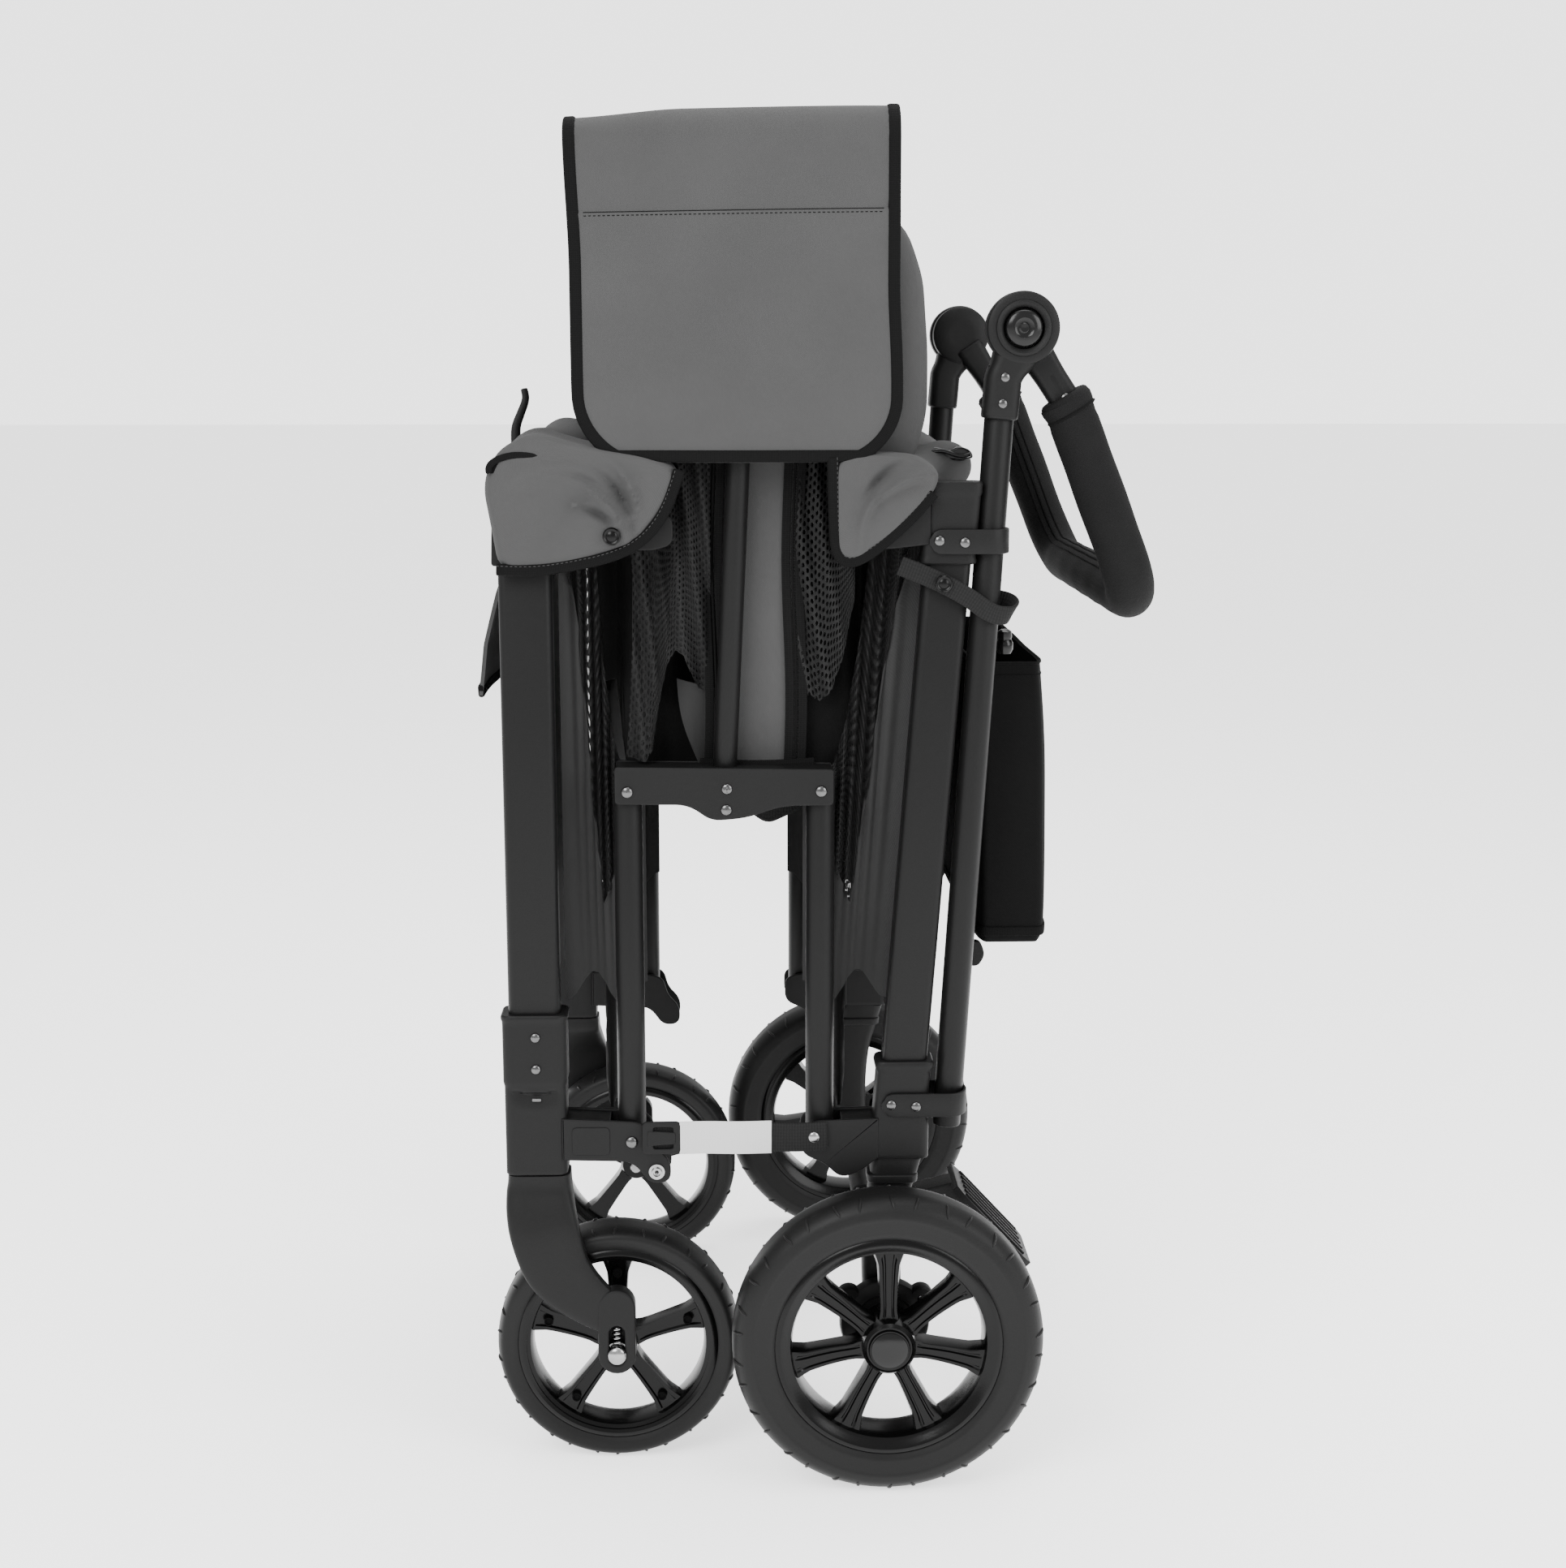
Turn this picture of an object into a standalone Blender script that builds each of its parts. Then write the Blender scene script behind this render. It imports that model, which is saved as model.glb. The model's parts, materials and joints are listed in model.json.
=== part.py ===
"""Folding four-wheel pet stroller, shown folded and standing on its wheels.

Metres, +Z up, front of the stroller towards -X, its left side towards -Y.
The origin is the bottom centre of the whole object's box.
Each side has two parallelograms: post, lower link, centre post and upper rail.
"""
import math

import bmesh
import bpy
from mathutils import Matrix, Vector

for old in list(bpy.data.objects):
    bpy.data.objects.remove(old, do_unlink=True)

# Driving dimensions: wheels
REAR_TYRE_RADIUS = 0.121
REAR_TYRE_WIDTH = 0.046
REAR_RIM_RADIUS = 0.089
FRONT_TYRE_RADIUS = 0.0965
FRONT_TYRE_WIDTH = 0.040
FRONT_RIM_RADIUS = 0.080
REAR_SPOKES = 7
FRONT_SPOKES = 5
RIM_DEPTH = 0.014
SPOKE_WIDTH = 0.013
TYRE_BULGE = 0.006
REAR_WHEEL_GAP = 0.0135
FRONT_WHEEL_INSET = 0.010
CASTER_TRAIL = 0.061
FORK_HEADROOM = 0.0245
FORK_CAP_HEIGHT = 0.024

# Driving dimensions: folding frame
FRAME_Y = 0.210
PIVOT_ABOVE_SLEEVE = 0.027
LINK_LENGTH = 0.278
PIVOT_RISE = 0.475
RAKE = 0.022
CENTRE_X = -0.0754
PIVOT_GAP = 0.147
FRONT_POST_X = -0.2232
REAR_AXLE_X = 0.0493
REAR_POST_FOOT_X = 0.0608
REAR_POST_LEAN = math.radians(4.2)
HANDLE_TUBE_GAP = 0.009
HANDLE_TUBE_LEAN = math.radians(3.4)

# Driving dimensions: sections
LINK_RADIUS = 0.011
RAIL_RADIUS = 0.009
CENTRE_POST_RADIUS = 0.009
HANDLE_TUBE_RADIUS = 0.011
CROSS_TUBE_RADIUS = 0.0125
TUBE_WALL = 0.0016
FRONT_POST_WIDTH = 0.040
REAR_POST_WIDTH = 0.035
POST_THICKNESS = 0.024
BRACKET_WALL = 0.0032
PIN_RADIUS = 0.004
EYE_RADIUS = 0.0145
LINK_TAIL = 0.010
AXLE_RADIUS = 0.010
STUB_RADIUS = 0.006
FRONT_AXLE_RADIUS = 0.005

# Driving dimensions: heights and lengths
FRONT_SLEEVE_LENGTH = 0.130
REAR_BRACKET_TOP_Z = 0.332
POST_TOP_MARGIN = 0.030
TOP_BRACKET_DROP = 0.026
HUB_RADIUS = 0.0265
HUB_RISE = 0.147
HUB_BACKSET = 0.011
ARM_LENGTH = 0.066
ARM_ANGLE = math.radians(34.0)
GRIP_LENGTH = 0.158
GRIP_ANGLE = math.radians(21.4)
GRIP_RADIUS = 0.019
BAR_RADIUS = 0.010
BAR_CORNER = 0.045
SUSPENSION_TRAVEL = 0.012
BUTTON_TRAVEL = 0.004
BUTTON_RADIUS = 0.0125

# Driving dimensions: soft parts
ROOF_OVERHANG = 0.020
FLAP_WIDTH = 0.246
FLAP_DROP = 0.247
FLAP_THICKNESS = 0.006
PANEL_THICKNESS = 0.006
BOARD_THICKNESS = 0.008
POCKET_HEIGHT = 0.229
POCKET_DEPTH = 0.058
SIDE_MESH_DROP = 0.340
SIDE_MESH_THICKNESS = 0.010
STRAP_HEIGHT = 0.024
STRAP_THICKNESS = 0.0024

# Clearances
FIT = 0.0003
RUNNING = 0.0005
SIDE_PLAY = 0.0013
SOFT_GAP = 0.002

# Places worked out from the driving dimensions
FRONT_SLEEVE_BOTTOM_Z = 2 * FRONT_TYRE_RADIUS + FORK_HEADROOM + FORK_CAP_HEIGHT + RUNNING
LOWER_PIVOT_Z = FRONT_SLEEVE_BOTTOM_Z + PIVOT_ABOVE_SLEEVE
FRONT_LOWER = Vector((CENTRE_X - PIVOT_GAP / 2, 0.0, LOWER_PIVOT_Z))
REAR_LOWER = Vector((CENTRE_X + PIVOT_GAP / 2, 0.0, LOWER_PIVOT_Z))
LINK_RISE = Vector((0.0, 0.0, LINK_LENGTH))
TOP_OFFSET = Vector((RAKE, 0.0, PIVOT_RISE))
FRONT_MIDDLE = FRONT_LOWER + LINK_RISE
REAR_MIDDLE = REAR_LOWER + LINK_RISE
FRONT_UPPER = FRONT_LOWER + TOP_OFFSET
REAR_UPPER = REAR_LOWER + TOP_OFFSET
FRONT_CROWN = FRONT_MIDDLE + TOP_OFFSET
REAR_CROWN = REAR_MIDDLE + TOP_OFFSET
MIDDLE = (FRONT_MIDDLE + REAR_MIDDLE) / 2
CROWN = (FRONT_CROWN + REAR_CROWN) / 2
BRACKET_HALF = max(POST_THICKNESS / 2 + FIT, LINK_RADIUS + SIDE_PLAY) + BRACKET_WALL
REAR_WHEEL_Y = FRAME_Y + BRACKET_HALF + REAR_WHEEL_GAP + REAR_TYRE_WIDTH / 2
FRONT_WHEEL_Y = FRAME_Y - FRONT_WHEEL_INSET
INNER_HALF = FRAME_Y - BRACKET_HALF - SOFT_GAP
SOFT_HALF = INNER_HALF - SIDE_MESH_THICKNESS - SOFT_GAP
POST_TOP_Z = FRONT_UPPER.z + POST_TOP_MARGIN
REAR_AXLE = Vector((REAR_AXLE_X, 0.0, REAR_TYRE_RADIUS))
FRONT_AXLE = Vector((FRONT_POST_X + CASTER_TRAIL, 0.0, FRONT_TYRE_RADIUS))
POST_FOOT_Z = LOWER_PIVOT_Z + EYE_RADIUS + 0.002
SLEEVE_TOP_Z = FRONT_SLEEVE_BOTTOM_Z + FRONT_SLEEVE_LENGTH
FRONT_POST_FOOT_Z = FRONT_SLEEVE_BOTTOM_Z + 0.060
HUB_Z = REAR_UPPER.z + HUB_RISE

WHEEL_SEGMENTS = 32
bodies = {}


def rear_post_x(z):
    """Centre line of the leaning rear posts."""
    return REAR_POST_FOOT_X + (z - POST_FOOT_Z) * math.tan(REAR_POST_LEAN)


def handle_tube_x(z):
    """Centre line of the handle tubes, which stand close behind the rear posts."""
    foot = REAR_POST_FOOT_X + REAR_POST_WIDTH / 2 + HANDLE_TUBE_GAP + HANDLE_TUBE_RADIUS
    return foot + (z - POST_FOOT_Z) * math.tan(HANDLE_TUBE_LEAN)


HUB = Vector((handle_tube_x(HUB_Z) + HUB_BACKSET, 0.0, HUB_Z))


# Scene helpers

def make_material(name, colour, roughness, metallic=0.0):
    material = bpy.data.materials.new(name)
    material.use_nodes = True
    shader = material.node_tree.nodes["Principled BSDF"]
    shader.inputs["Base Color"].default_value = (*colour, 1.0)
    shader.inputs["Roughness"].default_value = roughness
    shader.inputs["Metallic"].default_value = metallic
    return material


MATERIALS = {
    "frame_paint": make_material("frame_paint", (0.075, 0.077, 0.080), 0.48, 0.35),
    "bracket_plastic": make_material("bracket_plastic", (0.022, 0.022, 0.024), 0.55),
    "rim_plastic": make_material("rim_plastic", (0.018, 0.018, 0.019), 0.28),
    "tyre_rubber": make_material("tyre_rubber", (0.045, 0.045, 0.047), 0.75),
    "grey_fabric": make_material("grey_fabric", (0.155, 0.155, 0.160), 0.90),
    "black_fabric": make_material("black_fabric", (0.020, 0.020, 0.022), 0.92),
    "mesh_fabric": make_material("mesh_fabric", (0.012, 0.012, 0.013), 0.95),
    "foam": make_material("foam", (0.020, 0.020, 0.021), 0.85),
    "webbing": make_material("webbing", (0.025, 0.025, 0.027), 0.88),
    "steel": make_material("steel", (0.60, 0.60, 0.61), 0.30, 1.0),
}


def add_body(name, pivot):
    """An empty on the body's joint axis, which its pieces are parented to."""
    empty = bpy.data.objects.new("pivot_" + name, None)
    empty.location = pivot
    bpy.context.collection.objects.link(empty)
    bodies[name] = empty
    return name


def place(mesh, name, body, slot, smooth=False):
    """Put a mesh given in world coordinates on a body, with its origin on the joint."""
    owner = bodies[body]
    mesh.transform(Matrix.Translation(-owner.location))
    piece = bpy.data.objects.new(name, mesh)
    bpy.context.collection.objects.link(piece)
    piece.parent = owner
    mesh.materials.append(MATERIALS[slot])
    if smooth:
        mesh.shade_smooth()
        mesh.set_sharp_from_angle(angle=math.radians(35))
    return piece


def combine(piece, mesh, operation):
    """Join or cut a piece with a second mesh through a live Boolean."""
    owner = piece.parent
    mesh.transform(Matrix.Translation(-owner.location))
    count = len(piece.modifiers)
    tool = bpy.data.objects.new(f"tool_{piece.name}_{count}", mesh)
    bpy.context.collection.objects.link(tool)
    tool.parent = owner
    tool.hide_render = True
    tool.display_type = "WIRE"
    modifier = piece.modifiers.new(f"{operation.lower()}_{count}", "BOOLEAN")
    modifier.operation = operation
    modifier.solver = "EXACT"
    modifier.object = tool
    return piece


def mesh_from(bm, name):
    bmesh.ops.recalc_face_normals(bm, faces=bm.faces)
    mesh = bpy.data.meshes.new(name)
    bm.to_mesh(mesh)
    bm.free()
    return mesh


# Shape helpers

def box_mesh(low, high):
    """A box between two corners."""
    bm = bmesh.new()
    bmesh.ops.create_cube(bm, size=1.0)
    low, high = Vector(low), Vector(high)
    for vert in bm.verts:
        vert.co = Vector([low[i] + (vert.co[i] + 0.5) * (high[i] - low[i]) for i in range(3)])
    return mesh_from(bm, "box")


def side_box(x, z, y):
    """A box from pairs of limits, with y given as two signed limits."""
    return box_mesh((min(x), min(y), min(z)), (max(x), max(y), max(z)))


def outline_mesh(points, y_limits):
    """A side-view outline of (x, z) points, made solid between two y limits."""
    bm = bmesh.new()
    verts = [bm.verts.new((x, y_limits[0], z)) for x, z in points]
    face = bm.faces.new(verts)
    grown = bmesh.ops.extrude_face_region(bm, geom=[face])
    moved = [item for item in grown["geom"] if isinstance(item, bmesh.types.BMVert)]
    bmesh.ops.translate(bm, verts=moved, vec=(0, y_limits[1] - y_limits[0], 0))
    return mesh_from(bm, "outline")


def arc(centre, radius, start, end, steps):
    """Points of an arc in the side view, in degrees from +X towards +Z."""
    points = []
    for step in range(steps + 1):
        angle = math.radians(start + (end - start) * step / steps)
        points.append((centre[0] + radius * math.cos(angle), centre[1] + radius * math.sin(angle)))
    return points


def section_ring(radius, segments):
    """A round section."""
    turn = 2 * math.pi / segments
    return [(radius * math.cos((k + 0.5) * turn), radius * math.sin((k + 0.5) * turn))
            for k in range(segments)]


def rounded_ring(width, depth, corner, steps=2):
    """A rectangular section with round corners."""
    points = []
    for index, (sx, sy) in enumerate(((1, 1), (-1, 1), (-1, -1), (1, -1))):
        for step in range(steps + 1):
            angle = math.pi / 2 * (index + step / steps)
            points.append((sx * (width / 2 - corner) + corner * math.cos(angle),
                           sy * (depth / 2 - corner) + corner * math.sin(angle)))
    return points


def sweep_mesh(path, outer, inner=None, across=(0, 1, 0)):
    """A section carried along a path; with an inner section it is an open-ended tube."""
    path = [Vector(point) for point in path]
    across = Vector(across)
    bm = bmesh.new()
    stations = []
    for index, point in enumerate(path):
        ahead = path[min(index + 1, len(path) - 1)] - point
        behind = point - path[max(index - 1, 0)]
        ahead = ahead.normalized() if ahead.length > 1e-9 else behind.normalized()
        behind = behind.normalized() if behind.length > 1e-9 else ahead
        tangent = (ahead + behind).normalized()
        v_axis = (across - across.dot(tangent) * tangent)
        if v_axis.length < 0.2:
            v_axis = Vector((0, 0, 1)) - tangent.z * tangent
        v_axis.normalize()
        u_axis = v_axis.cross(tangent).normalized()
        stretch = 1.0 / max(0.5, tangent.dot(ahead))
        stations.append((point, u_axis * stretch, v_axis))
    rings = []
    for section in (outer, inner):
        if section is None:
            continue
        rings.append([[bm.verts.new(point + u * a + v * b) for a, b in section]
                      for point, u, v in stations])
    count = len(outer)
    for shell in rings:
        for index in range(len(stations) - 1):
            for k in range(count):
                following = (k + 1) % count
                bm.faces.new((shell[index][k], shell[index][following],
                              shell[index + 1][following], shell[index + 1][k]))
    for index in (0, -1):
        if inner is None:
            bm.faces.new(rings[0][index])
            continue
        for k in range(count):
            following = (k + 1) % count
            bm.faces.new((rings[0][index][k], rings[0][index][following],
                          rings[1][index][following], rings[1][index][k]))
    return mesh_from(bm, "sweep")


def tube_mesh(start, end, radius, wall=TUBE_WALL, segments=12):
    """A straight open-ended round tube."""
    inner = section_ring(radius - wall, segments)
    return sweep_mesh((start, end), section_ring(radius, segments), inner)


def rod_mesh(start, end, radius, segments=12):
    """A straight solid round bar."""
    return sweep_mesh((start, end), section_ring(radius, segments))


def turned_mesh(profile, centre, segments):
    """A closed profile of (y, radius) points, turned about a line along Y."""
    bm = bmesh.new()
    rings = []
    for step in range(segments):
        angle = 2 * math.pi * step / segments
        rings.append([bm.verts.new((centre[0] + r * math.cos(angle), y,
                                    centre[2] + r * math.sin(angle))) for y, r in profile])
    count = len(profile)
    for step in range(segments):
        here, there = rings[step], rings[(step + 1) % segments]
        for k in range(count):
            following = (k + 1) % count
            bm.faces.new((here[k], here[following], there[following], there[k]))
    return mesh_from(bm, "turned")


def shaft_mesh(steps, centre, segments=16):
    """A solid stepped shaft along Y from (y, radius) points."""
    bm = bmesh.new()
    rings = []
    for y, radius in steps:
        rings.append([bm.verts.new((centre[0] + radius * math.cos(2 * math.pi * k / segments), y,
                                    centre[2] + radius * math.sin(2 * math.pi * k / segments)))
                      for k in range(segments)])
    for index in range(len(rings) - 1):
        for k in range(segments):
            following = (k + 1) % segments
            bm.faces.new((rings[index][k], rings[index][following],
                          rings[index + 1][following], rings[index + 1][k]))
    bm.faces.new(rings[0])
    bm.faces.new(rings[-1])
    return mesh_from(bm, "shaft")


def span(side, inner, outer):
    """Signed y limits of something that lies from inner to outer on one side."""
    return (side * inner, side * outer)


def at_side(point, side, y=FRAME_Y):
    return Vector((point[0], side * y, point[2]))


def bracket_span(side):
    return span(side, FRAME_Y - BRACKET_HALF, FRAME_Y + BRACKET_HALF)


def cut_fork(piece, pivot, side, tube_radius, opens):
    """Open a bracket round a tube's end, towards -X or +X, and put the pin across."""
    half = tube_radius + SIDE_PLAY
    reach = 2 * EYE_RADIUS
    wall = math.hypot(LINK_TAIL, tube_radius) + RUNNING
    x_limits = (pivot[0] + opens * reach, pivot[0] - opens * wall)
    z_limits = (pivot[2] - reach, pivot[2] + reach)
    slot = side_box(x_limits, z_limits, span(side, FRAME_Y - half, FRAME_Y + half))
    combine(piece, slot, "DIFFERENCE")
    add_pin(piece, pivot, side, FRAME_Y + BRACKET_HALF)


def add_pin(piece, pivot, side, outer_y):
    start = (pivot[0], side * (FRAME_Y - BRACKET_HALF), pivot[2])
    end = (pivot[0], side * outer_y, pivot[2])
    combine(piece, rod_mesh(start, end, PIN_RADIUS, 8), "UNION")


def linked_tube(name, body, low, high, side, radius):
    """A link or rail: a tube with a cross hole for the pin at each end."""
    down = (high - low).normalized() * LINK_TAIL
    piece = place(tube_mesh(at_side(low - down, side), at_side(high + down, side), radius),
                  name, body, "frame_paint", smooth=True)
    for pivot in (low, high):
        start = (pivot[0], side * (FRAME_Y - 2 * radius), pivot[2])
        end = (pivot[0], side * (FRAME_Y + 2 * radius), pivot[2])
        combine(piece, rod_mesh(start, end, PIN_RADIUS + RUNNING, 8), "DIFFERENCE")
    return piece


# Bodies, each on its joint

SIDES = (("left", -1), ("right", 1))


def add_bodies():
    add_body("rear_frame", (0, 0, 0))
    add_body("rear_link", REAR_LOWER)
    add_body("centre_frame", REAR_MIDDLE)
    add_body("front_link", FRONT_MIDDLE)
    add_body("front_frame", FRONT_LOWER)
    add_body("rear_rail", REAR_UPPER)
    add_body("front_rail", FRONT_CROWN)
    add_body("handle", HUB)
    add_body("brake", REAR_AXLE)
    add_body("strap", at_side(REAR_LOWER, -1))
    for name, side in SIDES:
        add_body("button_" + name, at_side(HUB, side))
        add_body("caster_" + name, (FRONT_POST_X, side * FRAME_Y, FRONT_SLEEVE_BOTTOM_Z))
        add_body("suspension_" + name, at_side(FRONT_AXLE, side, FRONT_WHEEL_Y))
        add_body("front_wheel_" + name, at_side(FRONT_AXLE, side, FRONT_WHEEL_Y))
        add_body("rear_wheel_" + name, at_side(REAR_AXLE, side, REAR_WHEEL_Y))


# Rear frame

def rear_frame_side(name, side):
    post_outer = rounded_ring(REAR_POST_WIDTH, POST_THICKNESS, 0.006)
    post_inner = rounded_ring(REAR_POST_WIDTH - 2 * TUBE_WALL, POST_THICKNESS - 2 * TUBE_WALL, 0.0044)
    low = (rear_post_x(POST_FOOT_Z), side * FRAME_Y, POST_FOOT_Z)
    high = (rear_post_x(POST_TOP_Z), side * FRAME_Y, POST_TOP_Z)
    place(sweep_mesh((low, high), post_outer, post_inner), "rear_post_" + name,
          "rear_frame", "frame_paint", smooth=True)

    tube_low = POST_FOOT_Z - 0.008
    tube_high = HUB.z - HUB_RADIUS - 0.002
    place(tube_mesh((handle_tube_x(tube_low), side * FRAME_Y, tube_low),
                    (handle_tube_x(tube_high), side * FRAME_Y, tube_high), HANDLE_TUBE_RADIUS),
          "handle_tube_" + name, "rear_frame", "frame_paint", smooth=True)
    rear_lower_bracket(name, side)
    rear_top_bracket(name, side)
    handle_hinge(name, side)


def cut_post(piece, side, width, x_at, z_low, z_high):
    """The pocket that a post slides into."""
    section = rounded_ring(width + 2 * FIT, POST_THICKNESS + 2 * FIT, 0.006)
    low = (x_at(z_low), side * FRAME_Y, z_low)
    high = (x_at(z_high), side * FRAME_Y, z_high)
    combine(piece, sweep_mesh((low, high), section), "DIFFERENCE")


def cut_handle_tube(piece, side, z_low, z_high):
    low = (handle_tube_x(z_low), side * FRAME_Y, z_low)
    high = (handle_tube_x(z_high), side * FRAME_Y, z_high)
    combine(piece, rod_mesh(low, high, HANDLE_TUBE_RADIUS + FIT), "DIFFERENCE")


def rear_lower_bracket(name, side):
    """Sleeve, link fork, handle tube clamp and leg in one moulding."""
    shell = REAR_POST_WIDTH / 2 + 0.005
    foot_x = rear_post_x(REAR_BRACKET_TOP_Z)
    clamp_x = handle_tube_x(POST_FOOT_Z) + HANDLE_TUBE_RADIUS + 0.005
    clamp_top = POST_FOOT_Z + 0.020
    leg_half = 0.014
    boss = AXLE_RADIUS + 0.007
    outline = arc((REAR_LOWER.x, REAR_LOWER.z), EYE_RADIUS, 250, 90, 6)
    outline += [(foot_x - shell, REAR_LOWER.z + EYE_RADIUS),
                (foot_x - shell, REAR_BRACKET_TOP_Z), (foot_x + shell, REAR_BRACKET_TOP_Z),
                (foot_x + shell, clamp_top), (clamp_x, clamp_top), (clamp_x, POST_FOOT_Z - 0.004),
                (REAR_AXLE.x + leg_half + 0.010, LOWER_PIVOT_Z - 0.020)]
    outline += arc((REAR_AXLE.x, REAR_AXLE.z), boss, 10, -190, 8)
    outline += [(REAR_AXLE.x - leg_half, LOWER_PIVOT_Z - 0.024)]
    piece = place(outline_mesh(outline, bracket_span(side)), "rear_lower_bracket_" + name,
                  "rear_frame", "bracket_plastic")
    cut_post(piece, side, REAR_POST_WIDTH, rear_post_x, POST_FOOT_Z - FIT, REAR_BRACKET_TOP_Z + 0.01)
    cut_handle_tube(piece, side, POST_FOOT_Z - 0.030, clamp_top + 0.010)
    bore = rod_mesh((REAR_AXLE.x, side * (FRAME_Y - 0.03), REAR_AXLE.z),
                    (REAR_AXLE.x, side * (FRAME_Y + 0.03), REAR_AXLE.z), AXLE_RADIUS + FIT, 16)
    combine(piece, bore, "DIFFERENCE")
    cut_fork(piece, REAR_LOWER, side, LINK_RADIUS, -1)
    if side < 0:
        add_pin(piece, REAR_LOWER, side, FRAME_Y + BRACKET_HALF + FIT + STRAP_THICKNESS + 0.001)


def rear_top_bracket(name, side):
    """Cap of the rear post, with the rail's fork in front and the handle tube clamp behind."""
    shell = REAR_POST_WIDTH / 2 + 0.005
    bottom = REAR_UPPER.z - TOP_BRACKET_DROP
    post_x = rear_post_x(REAR_UPPER.z)
    clamp_x = handle_tube_x(bottom) + HANDLE_TUBE_RADIUS + 0.005
    top = POST_TOP_Z + 0.004
    outline = arc((REAR_UPPER.x, REAR_UPPER.z), EYE_RADIUS, 270, 90, 6)
    outline += [(post_x - shell, REAR_UPPER.z + EYE_RADIUS), (post_x - shell + 0.004, top),
                (post_x + shell - 0.006, top), (post_x + shell, top - 0.010),
                (clamp_x, REAR_UPPER.z), (clamp_x, bottom), (post_x - shell, bottom)]
    piece = place(outline_mesh(outline, bracket_span(side)), "rear_top_bracket_" + name,
                  "rear_frame", "bracket_plastic")
    cut_post(piece, side, REAR_POST_WIDTH, rear_post_x, bottom - 0.01, POST_TOP_Z + FIT)
    cut_handle_tube(piece, side, bottom - 0.010, top + 0.010)
    cut_fork(piece, REAR_UPPER, side, RAIL_RADIUS, -1)


def hub_faces():
    """Y planes of the hub: inner face, the split between its halves, outer face."""
    half = HANDLE_TUBE_RADIUS + 0.0055
    return FRAME_Y - half, FRAME_Y + 0.0005, FRAME_Y + half


def handle_hinge(name, side):
    """Fixed outer half of the folding handle's hub, with its socket on the handle tube."""
    inner, split, outer = hub_faces()
    top_z = HUB.z - HUB_RADIUS - 0.0005
    disc = shaft_mesh(((side * split, HUB_RADIUS), (side * outer, HUB_RADIUS)), HUB, 24)
    piece = place(disc, "handle_hinge_" + name, "rear_frame", "bracket_plastic", smooth=True)
    neck = side_box((HUB.x - 0.022, HUB.x + 0.006), (top_z - 0.015, HUB.z - 0.006),
                    span(side, split, outer - 0.001))
    combine(piece, neck, "UNION")
    socket_low = (handle_tube_x(top_z - 0.036), side * FRAME_Y, top_z - 0.036)
    socket_high = (handle_tube_x(top_z), side * FRAME_Y, top_z)
    combine(piece, rod_mesh(socket_low, socket_high, HANDLE_TUBE_RADIUS + 0.0035), "UNION")
    cut_handle_tube(piece, side, top_z - 0.060, top_z - 0.0012)
    seat = outer - 0.0020
    recess = shaft_mesh(((side * (seat - BUTTON_TRAVEL - RUNNING), BUTTON_RADIUS + FIT),
                         (side * (outer + 0.01), BUTTON_RADIUS + FIT)), HUB, 16)
    combine(piece, recess, "DIFFERENCE")
    button = shaft_mesh(((side * seat, BUTTON_RADIUS),
                         (side * (outer + 0.0030), BUTTON_RADIUS),
                         (side * (outer + 0.0045), BUTTON_RADIUS - 0.002)), HUB, 16)
    place(button, "hinge_button_" + name, "button_" + name, "rim_plastic", smooth=True)


def rear_cross_tube():
    z = POST_FOOT_Z + 0.016
    x = rear_post_x(z)
    reach = FRAME_Y - BRACKET_HALF - FIT
    place(tube_mesh((x, -reach, z), (x, reach, z), CROSS_TUBE_RADIUS), "rear_cross_tube",
          "rear_frame", "frame_paint", smooth=True)


def rear_axle():
    """Shaft through both legs, with the brake plates and the wheels' stub ends."""
    plate_low = FRAME_Y + BRACKET_HALF + FIT
    plate_high = REAR_WHEEL_Y - REAR_TYRE_WIDTH / 2 - 0.0015
    stub_end = REAR_WHEEL_Y + REAR_TYRE_WIDTH / 2 + 0.001
    half = [(plate_low, AXLE_RADIUS), (plate_low, 0.034), (plate_high, 0.031),
            (plate_high, STUB_RADIUS), (stub_end, STUB_RADIUS)]
    steps = [(-y, r) for y, r in reversed(half)] + half
    place(shaft_mesh(steps, REAR_AXLE), "rear_axle", "rear_frame", "steel", smooth=True)


def brake_pedal():
    """Collar on the axle, arm and sloping ribbed foot plate."""
    half = 0.036
    collar = AXLE_RADIUS + 0.006
    knee = (REAR_AXLE.x + 0.083, REAR_AXLE.z + 0.019)
    tip = (REAR_AXLE.x + 0.141, REAR_AXLE.z - 0.044)
    outline = arc((REAR_AXLE.x, REAR_AXLE.z), collar, 60, 330, 9)
    outline += [(knee[0] - 0.006, knee[1] - 0.011), (tip[0] - 0.005, tip[1]), (tip[0], tip[1] + 0.004),
                (knee[0] + 0.004, knee[1] + 0.004), (knee[0] - 0.006, knee[1] + 0.006)]
    piece = place(outline_mesh(outline, (-half, half)), "brake_pedal", "brake", "bracket_plastic")
    bore = rod_mesh((REAR_AXLE.x, -2 * half, REAR_AXLE.z), (REAR_AXLE.x, 2 * half, REAR_AXLE.z),
                    AXLE_RADIUS + RUNNING, 16)
    combine(piece, bore, "DIFFERENCE")


# Folding handle

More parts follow.
